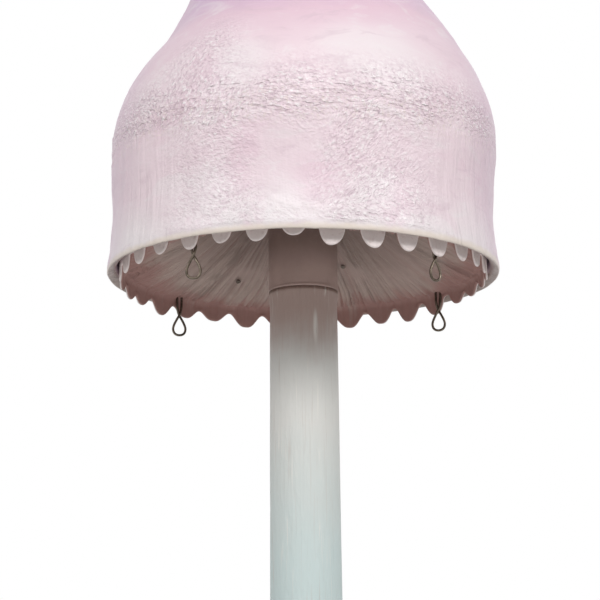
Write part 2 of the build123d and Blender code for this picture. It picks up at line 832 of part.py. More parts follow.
with BuildPart() as foot_pads:
    with BuildSketch():
        with PolarLocations(pad_circle, pad_count):
            Circle(pad_radius)
    extrude(amount=pad_height)
    chamfer(foot_pads.edges().group_by(Axis.Z)[0], pad_chamfer)
write(foot_pads.part, "foot_pads")


def countersunk(shank, head, length):
    """A countersunk screw standing on its head at z = 0."""
    with BuildPart() as screw:
        Cone(head, shank, head - shank, align=(Align.CENTER, Align.CENTER, Align.MIN))
        Cylinder(shank, length, align=(Align.CENTER, Align.CENTER, Align.MIN))
    return screw.part


socket_screw_length = plate_wall + screw_grip * socket_flange_wall
with BuildPart() as socket_screws:
    with Locations((0, 0, pad_height + screw_clearance)):
        with PolarLocations(socket_screw_circle, socket_screw_count):
            add(countersunk(socket_screw_radius, socket_screw_head, socket_screw_length))
write(socket_screws.part, "socket_screws")

with BuildPart() as foot_screws:
    with Locations((0, 0, pad_height + screw_clearance)):
        with PolarLocations(foot_boss_circle, foot_screw_count, start_angle=foot_screw_angle):
            add(countersunk(foot_screw_radius, foot_screw_head, foot_screw_length))
write(foot_screws.part, "foot_screws")

# ---------------------------------------------------------------- socket that carries the stem
with BuildPart() as base_socket:
    with BuildSketch(Plane.XY.offset(plate_top)):
        Circle(socket_flange_radius)
        Circle(socket_bore, mode=Mode.SUBTRACT)
    extrude(amount=socket_flange_wall)
    with BuildSketch(Plane.XY.offset(plate_top)):
        Circle(socket_radius)
        Circle(socket_bore, mode=Mode.SUBTRACT)
    extrude(amount=socket_height)
    with BuildSketch(Plane.XY.offset(plate_top)):
        with PolarLocations(socket_screw_circle, socket_screw_count):
            Circle(socket_screw_radius + screw_clearance)
    extrude(amount=socket_flange_wall, mode=Mode.SUBTRACT)
    add(lead_notch.part, mode=Mode.SUBTRACT)
    with PolarLocations(0, stem_screw_count, start_angle=stem_screw_angle):
        add(stem_screw_hole.part, mode=Mode.SUBTRACT)
write(base_socket.part, "base_socket")

# ---------------------------------------------------------------- foot shell
edge_radius = stem_surface(foot_top) + foot_clearance + foot_edge
foot_outline = Spline(
    (foot_radius, plinth_height),
    (flare_radius, flare_height),
    (ankle_radius, ankle_height),
    (edge_radius, foot_top),
    tangents=((0, 1), (-0.05, 1)),
)
foot_inside = [(foot_radius - foot_wall, plinth_height)]
foot_stations = 10
for station in range(1, foot_stations):
    along = station / foot_stations
    wall = foot_wall + (foot_edge - foot_wall) * along
    point, heading = foot_outline @ along, foot_outline % along
    foot_inside.append((point.X - heading.Y * wall, point.Y + heading.X * wall))
foot_inside.append((edge_radius - foot_edge, foot_top))

with BuildPart() as foot_form:
    with BuildSketch(Plane.XZ):
        with BuildLine():
            add(foot_outline)
            Polyline(
                foot_outline @ 1,
                (edge_radius - foot_edge, foot_top),
                (edge_radius - foot_edge, foot_base),
                (foot_radius, foot_base),
                foot_outline @ 0,
            )
        make_face()
    revolve(axis=Axis.Z)

with BuildPart() as foot_bosses:
    with BuildSketch(Plane.XY.offset(plate_top)):
        with PolarLocations(foot_boss_circle, foot_screw_count, start_angle=foot_screw_angle):
            Circle(foot_boss_radius)
    extrude(amount=foot_top)
    add(foot_form.part, mode=Mode.INTERSECT)

with BuildPart() as foot_shell:
    with BuildSketch(Plane.XZ):
        with BuildLine():
            add(foot_outline)
            Line(foot_outline @ 1, foot_inside[-1])
            hollow = Spline(*reversed(foot_inside), tangents=((0.05, -1), (0, -1)))
            Polyline(
                hollow @ 1,
                (foot_radius - foot_wall, foot_base),
                (foot_radius, foot_base),
                foot_outline @ 0,
            )
        make_face()
    revolve(axis=Axis.Z)
    add(foot_bosses.part)
    with BuildSketch(Plane.XY.offset(plate_top)):
        with PolarLocations(foot_boss_circle, foot_screw_count, start_angle=foot_screw_angle):
            Circle(foot_screw_radius + screw_clearance)
    extrude(amount=foot_screw_length - plate_wall + cut_margin, mode=Mode.SUBTRACT)
    with BuildSketch(Plane.XZ.offset(-foot_radius - cut_margin)):
        with Locations((0, gland_height)):
            Circle(gland_thread_radius + screw_clearance)
    extrude(amount=foot_wall + 2 * cut_margin, mode=Mode.SUBTRACT)
    with BuildSketch(Plane.XZ.offset(-foot_radius + spot_face_depth)):
        with Locations((0, gland_height)):
            Circle(spot_face_radius)
    extrude(amount=-spot_face_depth - cut_margin, mode=Mode.SUBTRACT)
write(foot_shell.part, "foot_shell")

# ---------------------------------------------------------------- cord gland at the back of the foot
spot_face = foot_radius - spot_face_depth
gland_start = foot_radius - foot_wall - gland_inside
gland_end = spot_face + gland_hex_height + gland_outside
dome_start = spot_face + gland_hex_height + glue_clearance
inner_wall = sqrt((foot_radius - foot_wall) ** 2 - (gland_hex_radius / cos(radians(30))) ** 2)


def along_back(start, end, outer, inner=0.0, hexagon=False):
    """A disc, ring or hexagon on the gland's axis, between two distances behind the stem."""
    with BuildPart() as piece:
        with BuildSketch(Plane.XZ.offset(-start)):
            with Locations((0, gland_height)):
                if hexagon:
                    RegularPolygon(outer, 6, major_radius=False)
                else:
                    Circle(outer)
                if inner:
                    Circle(inner, mode=Mode.SUBTRACT)
        extrude(amount=start - end)
    return piece.part


with BuildPart() as gland_body:
    add(along_back(gland_start, gland_end, gland_thread_radius, gland_bore))
    add(along_back(spot_face, spot_face + gland_hex_height, gland_hex_radius, gland_bore, hexagon=True))
write(gland_body.part, "gland_body")

gland_seal = along_back(gland_end - seal_length, gland_end, gland_bore - glue_clearance, seal_bore)
write(gland_seal, "gland_seal")

locknut_end = inner_wall - glue_clearance
locknut_bore = gland_thread_radius + screw_clearance
locknut = along_back(locknut_end - locknut_height, locknut_end, gland_hex_radius, locknut_bore, hexagon=True)
write(locknut, "gland_locknut")

dome_end = dome_start + dome_length
with BuildPart() as gland_dome_nut:
    add(along_back(dome_start, dome_end, dome_radius))
    fillet(gland_dome_nut.edges().sort_by(Axis.Y)[-1], dome_fillet)
    add(along_back(dome_start, gland_end + glue_clearance, locknut_bore), mode=Mode.SUBTRACT)
    add(along_back(dome_start, dome_end + cut_margin, dome_bore), mode=Mode.SUBTRACT)
write(gland_dome_nut.part, "gland_dome_nut")

# ---------------------------------------------------------------- terminal block
lead_start_height = plate_top + block_height / 2
block_front = block_y - block_width / 2
with BuildPart() as terminal_block:
    with BuildSketch(Plane.XY.offset(plate_top)):
        with Locations(block_centre):
            Rectangle(block_length, block_width)
            Circle(block_screw_radius + screw_clearance, mode=Mode.SUBTRACT)
    extrude(amount=block_height)
    with BuildSketch(Plane.XZ.offset(-block_front)):
        with Locations((block_x - block_length / 4, lead_start_height)):
            Circle(lead_radius + lead_clearance)
    extrude(amount=-block_hole_depth, mode=Mode.SUBTRACT)
    with BuildSketch(Plane.XZ.offset(-block_front - block_width)):
        with Locations((block_x - block_length / 4, lead_start_height)):
            Circle(lead_radius + lead_clearance)
    extrude(amount=block_hole_depth, mode=Mode.SUBTRACT)
write(terminal_block.part, "terminal_block")

with BuildPart() as block_screw:
    with BuildSketch(Plane.XY.offset(plate_top + block_height)):
        with Locations(block_centre):
            Circle(block_screw_head)
    extrude(amount=screw_head_height)
    with BuildSketch(Plane.XY.offset(plate_top + block_height)):
        with Locations(block_centre):
            Circle(block_screw_radius)
    extrude(amount=-block_screw_length)
write(block_screw.part, "block_screw")

# ---------------------------------------------------------------- internal lead and its grommet
lead_x = block_x - block_length / 4
lead_points = [
    (lead_x, block_front + lead_tail, lead_start_height),
    (lead_x, block_front - lead_straight, lead_start_height),
    (0, block_front - lead_straight - lead_swing, lead_entry_height),
    (0, 0, lead_entry_height),
    (0, 0, cup_base + cup_floor + lead_end_gap),
]
with BuildPart() as internal_lead:
    with BuildLine() as lead_route:
        FilletPolyline(*lead_points, radius=lead_bends)
    with BuildSketch(Plane(lead_route.line @ 0, z_dir=lead_route.line % 0)):
        Circle(lead_radius)
    sweep()
write(internal_lead.part, "internal_lead")
lead_length = sum(edge.length for edge in lead_route.edges())
lead_share = internal_lead.part.volume / (pi * lead_radius**2 * lead_length)
print("lead length", round(lead_length, 1), "bends", lead_bends, "volume share", round(lead_share, 4))

grommet_outer = stem_surface(lead_entry_height) + lead_clearance
with BuildPart() as lead_grommet:
    with BuildSketch(Plane.XZ.offset(-socket_bore + grommet_inside)):
        with Locations((0, lead_entry_height)):
            Circle(grommet_radius)
            Circle(lead_radius + lead_clearance, mode=Mode.SUBTRACT)
    extrude(amount=socket_bore - grommet_inside - grommet_outer - grommet_lip_wall)
    with BuildSketch(Plane.XZ.offset(-grommet_outer)):
        with Locations((0, lead_entry_height)):
            Circle(grommet_radius + grommet_lip)
            Circle(lead_radius + lead_clearance, mode=Mode.SUBTRACT)
    extrude(amount=-grommet_lip_wall)
write(lead_grommet.part, "lead_grommet")
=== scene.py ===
"""Mushroom floor lamp: a pearly pink cap over scalloped gills, on a hand-brushed stem and foot."""
from __future__ import annotations

import json
import logging
import math
from dataclasses import dataclass, field
from enum import Enum
from typing import Any, Callable, Sequence, Union

import bmesh
import bpy
from mathutils import Matrix, Vector, noise

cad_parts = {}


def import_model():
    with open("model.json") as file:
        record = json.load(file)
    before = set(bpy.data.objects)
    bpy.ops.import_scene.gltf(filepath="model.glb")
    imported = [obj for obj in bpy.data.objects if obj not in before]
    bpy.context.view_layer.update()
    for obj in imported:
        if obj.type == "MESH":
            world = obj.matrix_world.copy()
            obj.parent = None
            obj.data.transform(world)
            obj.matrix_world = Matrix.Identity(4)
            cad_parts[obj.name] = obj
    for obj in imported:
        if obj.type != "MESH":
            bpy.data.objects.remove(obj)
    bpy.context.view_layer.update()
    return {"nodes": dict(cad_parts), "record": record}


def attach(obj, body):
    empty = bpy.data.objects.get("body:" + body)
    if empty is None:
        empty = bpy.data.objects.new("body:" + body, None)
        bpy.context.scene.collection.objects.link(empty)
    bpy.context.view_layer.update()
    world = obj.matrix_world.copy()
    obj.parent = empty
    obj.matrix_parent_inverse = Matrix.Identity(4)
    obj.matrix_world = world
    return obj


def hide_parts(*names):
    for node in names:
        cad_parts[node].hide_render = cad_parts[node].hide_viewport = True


LOG = logging.getLogger("mushroom_lamp")
MM = 0.001
FULL_TURN = 2.0 * math.pi
CREASE_WIDTH = 0.22
CREASE_SHARPNESS = 1.3
WELD = 0.002 * MM
SPOT_EDGE = 0.25
SENSOR_WIDTH = 36.0
WHITE = (1.0, 1.0, 1.0, 1.0)

Colour = tuple[float, float, float, float]
Triple = tuple[float, float, float]
Pairs = tuple[tuple[float, float], ...]
Knots = Sequence[tuple[float, float]]
Place = Callable[[float, float], Vector]
Material = bpy.types.Material
Mesh = bmesh.types.BMesh
Piece = bpy.types.Object


# ---- choices ----
class Body(Enum):
    """The two bodies that pieces ride on."""

    ROOT = "root"
    CAP = "cap"


class Slot(Enum):
    """Material slots of the record, passed along with the new pieces."""

    CAP = "cap_lacquer"
    GILLS = "gill_paint"
    WIRE = "eye_wire"
    ZINC = "zinc"
    STEM = "stem_paint"
    FOOT = "foot_paint"


class Mark(Enum):
    """What the gills' mesh carries on its points for their paint."""

    OUTSIDE = "outside"
    CREST = "crest"
    GATHERED = "gathered"


# ---- numbers ----
def shade(code: str) -> Colour:
    """Turns six hexadecimal digits of display colour into linear red, green, blue and alpha."""
    parts = [int(code[index : index + 2], 16) / 255.0 for index in (0, 2, 4)]
    red, green, blue = (
        part / 12.92 if part <= 0.04045 else ((part + 0.055) / 1.055) ** 2.4 for part in parts
    )
    return (red, green, blue, 1.0)


def smooth(value: float, low: float, high: float) -> float:
    """Rises smoothly from 0 where the value is low to 1 where it is high."""
    share = min(1.0, max(0.0, (value - low) / (high - low)))
    return share * share * (3.0 - 2.0 * share)


def bell(value: float, centre: float, reach: float) -> float:
    """A smooth hump of height 1 at the centre that dies away past the reach."""
    return math.exp(-(((value - centre) / reach) ** 2))


def between(value: float, knots: Knots) -> float:
    """Reads a value off a list of knots, with straight runs between them.

    Args:
        value: where to read.
        knots: pairs of place and value, in rising order of place.

    Returns:
        The value there.
    """
    if value <= knots[0][0]:
        return knots[0][1]
    for (start, low), (end, high) in zip(knots, knots[1:]):
        if value <= end:
            return low + (high - low) * (value - start) / (end - start)
    return knots[-1][1]


def round_noise(angle: float, along: float, lumps: float, seed: float) -> float:
    """Noise that closes on itself round the lamp.

    Args:
        angle: angle round the axis, in radians.
        along: second coordinate, in lumps.
        lumps: how many lumps fit on a radius, about a third of those on a full turn.
        seed: sets one pattern apart from another.

    Returns:
        A number from about -1 to 1.
    """
    across, ahead = math.cos(angle) * lumps + seed, math.sin(angle) * lumps - seed
    return noise.noise(Vector((across, ahead, along + 2.0 * seed)))


def crease(value: float) -> float:
    """Folds noise into thin ridges that stand where it changes sign, from 0 to 1."""
    return max(0.0, 1.0 - abs(value) / CREASE_WIDTH) ** CREASE_SHARPNESS


def metres(knots: Knots) -> list[tuple[float, float]]:
    """Turns knots from millimetres into metres."""
    return [(radius * MM, height * MM) for radius, height in knots]


def turn_angle(across: float) -> float:
    """Angle from the front, in radians, for a share of a turn that starts at the back."""
    return (across - 0.5) * FULL_TURN


class Outline:
    """A smooth line through knots in the radius and height plane, measured along its length."""

    def __init__(self, knots: Knots, fineness: int = 16) -> None:
        """Passes a line through the knots.

        Args:
            knots: pairs of radius and height, in millimetres.
            fineness: how many steps each run between two knots is measured in.
        """
        knots = metres(knots)
        first = (2 * knots[0][0] - knots[1][0], 2 * knots[0][1] - knots[1][1])
        last = (2 * knots[-1][0] - knots[-2][0], 2 * knots[-1][1] - knots[-2][1])
        padded = [first, *knots, last]
        self.points: list[Vector] = []
        for index in range(1, len(padded) - 2):
            before, start, end, after = (Vector(padded[index + step]) for step in (-1, 0, 1, 2))
            for step in range(fineness):
                self.points.append(self._through(before, start, end, after, step / fineness))
        self.points.append(Vector(knots[-1]))
        self.lengths = [0.0]
        for start, end in zip(self.points, self.points[1:]):
            self.lengths.append(self.lengths[-1] + (end - start).length)
        self.length = self.lengths[-1]

    @staticmethod
    def _through(before: Vector, start: Vector, end: Vector, after: Vector, share: float) -> Vector:
        """One point of the curve from start to end, with slopes no steeper than the run is long."""
        span = (end - start).length
        left, right = (
            slope.normalized() * span if slope.length > span else slope
            for slope in ((end - before) * 0.5, (after - start) * 0.5)
        )
        square, cube = share * share, share**3
        return (
            start * (2 * cube - 3 * square + 1)
            + left * (cube - 2 * square + share)
            + end * (3 * square - 2 * cube)
            + right * (cube - square)
        )

    def at(self, share: float) -> tuple[float, float, Vector]:
        """Finds a place on the line.

        Args:
            share: distance along the line, from 0 to 1.

        Returns:
            Radius, height, and the unit normal to the right of the way the line runs.
        """
        reach = min(self.length, max(0.0, share * self.length))
        low, high = 0, len(self.lengths) - 1
        while high - low > 1:
            middle = (low + high) // 2
            if self.lengths[middle] <= reach:
                low = middle
            else:
                high = middle
        run = self.lengths[high] - self.lengths[low]
        part = (reach - self.lengths[low]) / run if run else 0.0
        start, end = self.points[low], self.points[high]
        place = start.lerp(end, part)
        heading = (end - start).normalized()
        return place.x, place.y, Vector((heading.y, -heading.x))


def polar(radius: float, angle: float, height: float) -> Vector:
    """A point by its radius, its angle from the front towards the right, and its height."""
    return Vector((radius * math.sin(angle), -radius * math.cos(angle), height))


# ---- meshes ----
def bent_sheet(columns: int, rows: int, place: Place) -> Mesh:
    """Bends a flat grid into a closed form and welds the edges that meet.

    Args:
        columns: faces along u.
        rows: faces along v.
        place: gives the point for u and v, each from 0 to 1.

    Returns:
        The mesh being built, with its faces turned outwards.
    """
    mesh = bmesh.new()
    bmesh.ops.create_grid(mesh, x_segments=columns, y_segments=rows, size=1.0)
    for vert in mesh.verts:
        vert.co = place(vert.co.x * 0.5 + 0.5, vert.co.y * 0.5 + 0.5)
    bmesh.ops.remove_doubles(mesh, verts=mesh.verts, dist=WELD)
    bmesh.ops.recalc_face_normals(mesh, faces=mesh.faces)
    return mesh


def finished(mesh: Mesh, name: str, material: Material) -> Piece:
    """Turns a mesh being built into an object in the scene.

    Args:
        mesh: the mesh, which is freed.
        name: the piece's name.
        material: its finish.

    Returns:
        The new object, at the origin.
    """
    for face in mesh.faces:
        face.smooth = True
    data = bpy.data.meshes.new(name)
    mesh.to_mesh(data)
    mesh.free()
    data.materials.append(material)
    piece = bpy.data.objects.new(name, data)
    bpy.context.scene.collection.objects.link(piece)
    return piece


def settle(piece: Piece, body: Body, slot: Slot, *nodes: str) -> Piece:
    """Seats a piece on its body and hides the solids it stands for.

    Args:
        piece: the new piece.
        body: what it rides on.
        slot: the record's slot for its finish; not used.
        nodes: the solids that it replaces.

    Returns:
        The piece.
    """
    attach(piece, body.value)
    if nodes:
        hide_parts(*nodes)
    LOG.info("%s: %d faces on %s", piece.name, len(piece.data.polygons), body.value)
    return piece


def sheet_piece(
    grid: tuple[int, int],
    place: Place,
    name: str,
    material: Material,
    seat: tuple[Body, Slot, str],
) -> Piece:
    """Bends a sheet and settles it in place of a solid.

    Args:
        grid: faces along u and along v.
        place: gives the point for u and v, each from 0 to 1.
        name: the piece's name.
        material: its finish.
        seat: its body, its slot and the solid that it replaces.

    Returns:
        The new object.
    """
    return settle(finished(bent_sheet(*grid, place), name, material), *seat)


# ---- shader maths ----
Value = Union["Signal", float, Sequence[float]]


class Signal:
    """An output socket with arithmetic on it."""

    def __init__(self, paint: "Paint", socket: bpy.types.NodeSocket) -> None:
        """Holds a socket of a material that is being built."""
        self.paint = paint
        self.socket = socket

    def _with(
        self, operation: str, first: Value, second: Value = 0.0, clamp: bool = False
    ) -> "Signal":
        """Adds one Math node."""
        settings = {"operation": operation, "use_clamp": clamp}
        return self.paint.node("ShaderNodeMath", settings, {0: first, 1: second})

    def __add__(self, other: Value) -> "Signal":
        """self + other"""
        return self._with("ADD", self, other)

    def __radd__(self, other: Value) -> "Signal":
        """other + self"""
        return self._with("ADD", other, self)

    def __sub__(self, other: Value) -> "Signal":
        """self - other"""
        return self._with("SUBTRACT", self, other)

    def __rsub__(self, other: Value) -> "Signal":
        """other - self"""
        return self._with("SUBTRACT", other, self)

    def __mul__(self, other: Value) -> "Signal":
        """self * other"""
        return self._with("MULTIPLY", self, other)

    def __rmul__(self, other: Value) -> "Signal":
        """other * self"""
        return self._with("MULTIPLY", other, self)

    def __truediv__(self, other: Value) -> "Signal":
        """self / other"""
        return self._with("DIVIDE", self, other)

    def __rtruediv__(self, other: Value) -> "Signal":
        """other / self"""
        return self._with("DIVIDE", other, self)

    def __abs__(self) -> "Signal":
        """abs(self)"""
        return self._with("ABSOLUTE", self)

    def clamped(self) -> "Signal":
        """self held between 0 and 1"""
        return self._with("ADD", self, 0.0, clamp=True)

    def rise(self, low: float, high: float) -> "Signal":
        """Rises smoothly from 0 at low to 1 at high; falls where low is the larger.

        Args:
            low: where the change starts.
            high: where it ends.

        Returns:
            A share from 0 to 1.
        """
        falling = low > high
        start, end = (high, low) if falling else (low, high)
        settings = {"interpolation_type": "SMOOTHSTEP"}
        limits = {"Value": self, "From Min": start, "From Max": end, "To Min": 0.0, "To Max": 1.0}
        rising = self.paint.node("ShaderNodeMapRange", settings, limits)
        return 1.0 - rising if falling else rising


class Paint:
    """The nodes of one procedural material, or of the world, while they are being built."""

    def __init__(self, name: str, world: bool = False) -> None:
        """Starts an empty material, or an empty world."""
        self.made = (bpy.data.worlds if world else bpy.data.materials).new(name)
        self.made.use_nodes = True
        self.tree = self.made.node_tree
        self.tree.nodes.clear()

    def node(
        self,
        kind: str,
        settings: dict[str, Any] | None = None,
        inputs: dict[str | int, Value] | None = None,
        output: str | int = 0,
    ) -> Signal:
        """Adds any node.

        Args:
            kind: the node's type.
            settings: its properties, and a ramp's stops as pairs of place and colour.
            inputs: values or signals for its sockets, by name or number.
            output: which output to hand back.

        Returns:
            The chosen output.
        """
        made = self.tree.nodes.new(kind)
        for key, value in (settings or {}).items():
            if key == "stops":
                self._stops(made.color_ramp, value)
            else:
                setattr(made, key, value)
        for key, value in (inputs or {}).items():
            socket = made.inputs[key]
            if isinstance(value, Signal):
                self.tree.links.new(value.socket, socket)
            else:
                socket.default_value = value
        return Signal(self, made.outputs[output])

    @staticmethod
    def _stops(ramp: bpy.types.ColorRamp, stops: Sequence[tuple[float, Colour]]) -> None:
        """Writes a ramp's stops."""
        while len(ramp.elements) < len(stops):
            ramp.elements.new(1.0)
        for element, (position, colour) in zip(ramp.elements, stops):
            element.position = position
            element.color = colour

    def where(self) -> Signal:
        """Object coordinates."""
        return self.node("ShaderNodeTexCoord", output="Object")

    def attribute(self, name: str) -> Signal:
        """A number that the mesh carries on its points."""
        return self.node("ShaderNodeAttribute", {"attribute_name": name}, output="Fac")

    def vector_maths(self, operation: str, *vectors: Value, output: int = 0) -> Signal:
        """Adds one Vector Math node; its output 0 is a vector, and its output 1 is a number."""
        inputs = dict(enumerate(vectors))
        return self.node("ShaderNodeVectorMath", {"operation": operation}, inputs, output)

    def spoke(self, vector: Signal) -> tuple[Signal, Signal]:
        """The level direction from the lamp's axis to a place, of length 1, and the radius."""
        level = self.vector_maths("MULTIPLY", vector, (1.0, 1.0, 0.0))
        radius = self.vector_maths("LENGTH", level, output=1)
        return self.vector_maths("NORMALIZE", level), radius

    def axis(self, vector: Signal, letter: str) -> Signal:
        """One coordinate of a vector."""
        return self.node("ShaderNodeSeparateXYZ", inputs={0: vector}, output=letter)

    def stretched(self, vector: Signal, scale: Sequence[float], turn: float = 0.0) -> Signal:
        """A vector turned about the front-to-back axis and scaled along each axis.

        Args:
            vector: the coordinates.
            scale: three factors.
            turn: angle in degrees.

        Returns:
            The new coordinates.
        """
        if turn:
            rotation = (0.0, math.radians(turn), 0.0)
            vector = self.node("ShaderNodeMapping", inputs={"Vector": vector, "Rotation": rotation})
        return self.node("ShaderNodeMapping", inputs={"Vector": vector, "Scale": tuple(scale)})

    def creases(self, vector: Signal, detail: float = 2.0, warp: float = 0.4) -> Signal:
        """Noise folded at its middle, which gives long sharp creases, from 0 to 1."""
        return 1.0 - abs(self.noise(vector, 1.0, detail, 0.55, warp) * 2.0 - 1.0) * 3.0

    def near(self, vector: Signal, centre: Sequence[float], reach: float) -> Signal:
        """A soft round patch, 1 round its centre and 0 past its reach."""
        distance = self.vector_maths("DISTANCE", vector, tuple(centre), output=1)
        return distance.rise(reach, reach * SPOT_EDGE)

    def noise(
        self,
        vector: Signal,
        scale: float,
        detail: float = 2.0,
        rough: float = 0.5,
        warp: float = 0.0,
    ) -> Signal:
        """Noise from 0 to 1.

        Args:
            vector: the coordinates.
            scale: lumps per unit.
            detail: octaves.
            rough: strength of the finer octaves.
            warp: distortion.

        Returns:
            The noise's value.
        """
        names = ("Vector", "Scale", "Detail", "Roughness", "Distortion")
        inputs = dict(zip(names, (vector, scale, detail, rough, warp)))
        return self.node("ShaderNodeTexNoise", None, inputs, "Fac")

    def grain(
        self,
        vector: Signal,
        scale: Triple,
        detail: float = 2.0,
        rough: float = 0.5,
        warp: float = 0.0,
        turn: float = 0.0,
    ) -> Signal:
        """Noise with a scale for each axis, turned by an angle in degrees."""
        return self.noise(self.stretched(vector, scale, turn), 1.0, detail, rough, warp)

    def mix(self, factor: Value, first: Value, second: Value) -> Signal:
        """Blends two colours: a factor of 0 gives the first, and 1 the second."""
        settings = {"data_type": "RGBA", "clamp_factor": True}
        return self.node("ShaderNodeMix", settings, {0: factor, 6: first, 7: second}, 2)

    def ramp(self, factor: Signal, stops: Sequence[tuple[float, Colour]]) -> Signal:
        """A colour read off a ramp."""
        return self.node("ShaderNodeValToRGB", {"stops": stops}, {0: factor}, "Color")

    def coats(self, colour: Signal, *layers: tuple[Signal, Colour | Signal]) -> Signal:
        """Lays colours one over another, each by its own share.

        Args:
            colour: the ground.
            layers: pairs of share and colour, from the lowest up.

        Returns:
            The colour on top.
        """
        for share, tone in layers:
            colour = self.mix(share, colour, tone)
        return colour

    def bump(
        self, height: Signal, depth: float, strength: float = 1.0, under: Signal | None = None
    ) -> Signal:
        """Turns a height pattern into a normal.

        Args:
            height: the pattern, from 0 to 1.
            depth: its real depth in metres.
            strength: share of it that shows.
            under: a normal that it is laid on.

        Returns:
            The new normal.
        """
        inputs: dict[str | int, Value] = {"Height": height, "Distance": depth, "Strength": strength}
        if under is not None:
            inputs["Normal"] = under
        return self.node("ShaderNodeBump", None, inputs, "Normal")

    def surface(self, **sockets: Value) -> Material:
        """Closes the material with one surface shader.

        Args:
            sockets: its sockets by name, with underscores for spaces.

        Returns:
            The finished material.
        """
        inputs = {name.replace("_", " "): value for name, value in sockets.items()}
        self.close("ShaderNodeOutputMaterial", self.node("ShaderNodeBsdfPrincipled", None, inputs))
        return self.made

    def close(self, kind: str, shader: Signal) -> None:
        """Links a shader to the output of the material or the world."""
        made = self.tree.nodes.new(kind)
        self.tree.links.new(shader.socket, made.inputs["Surface"])

    def plain_rays(self) -> Signal:
        """1 for the camera's rays, straight, mirrored or through glass, and 0 for others."""
        rays = [
            self.node("ShaderNodeLightPath", output=f"Is {kind} Ray")
            for kind in ("Camera", "Glossy", "Transmission")
        ]
        return (rays[0] + rays[1] + rays[2]).clamped()


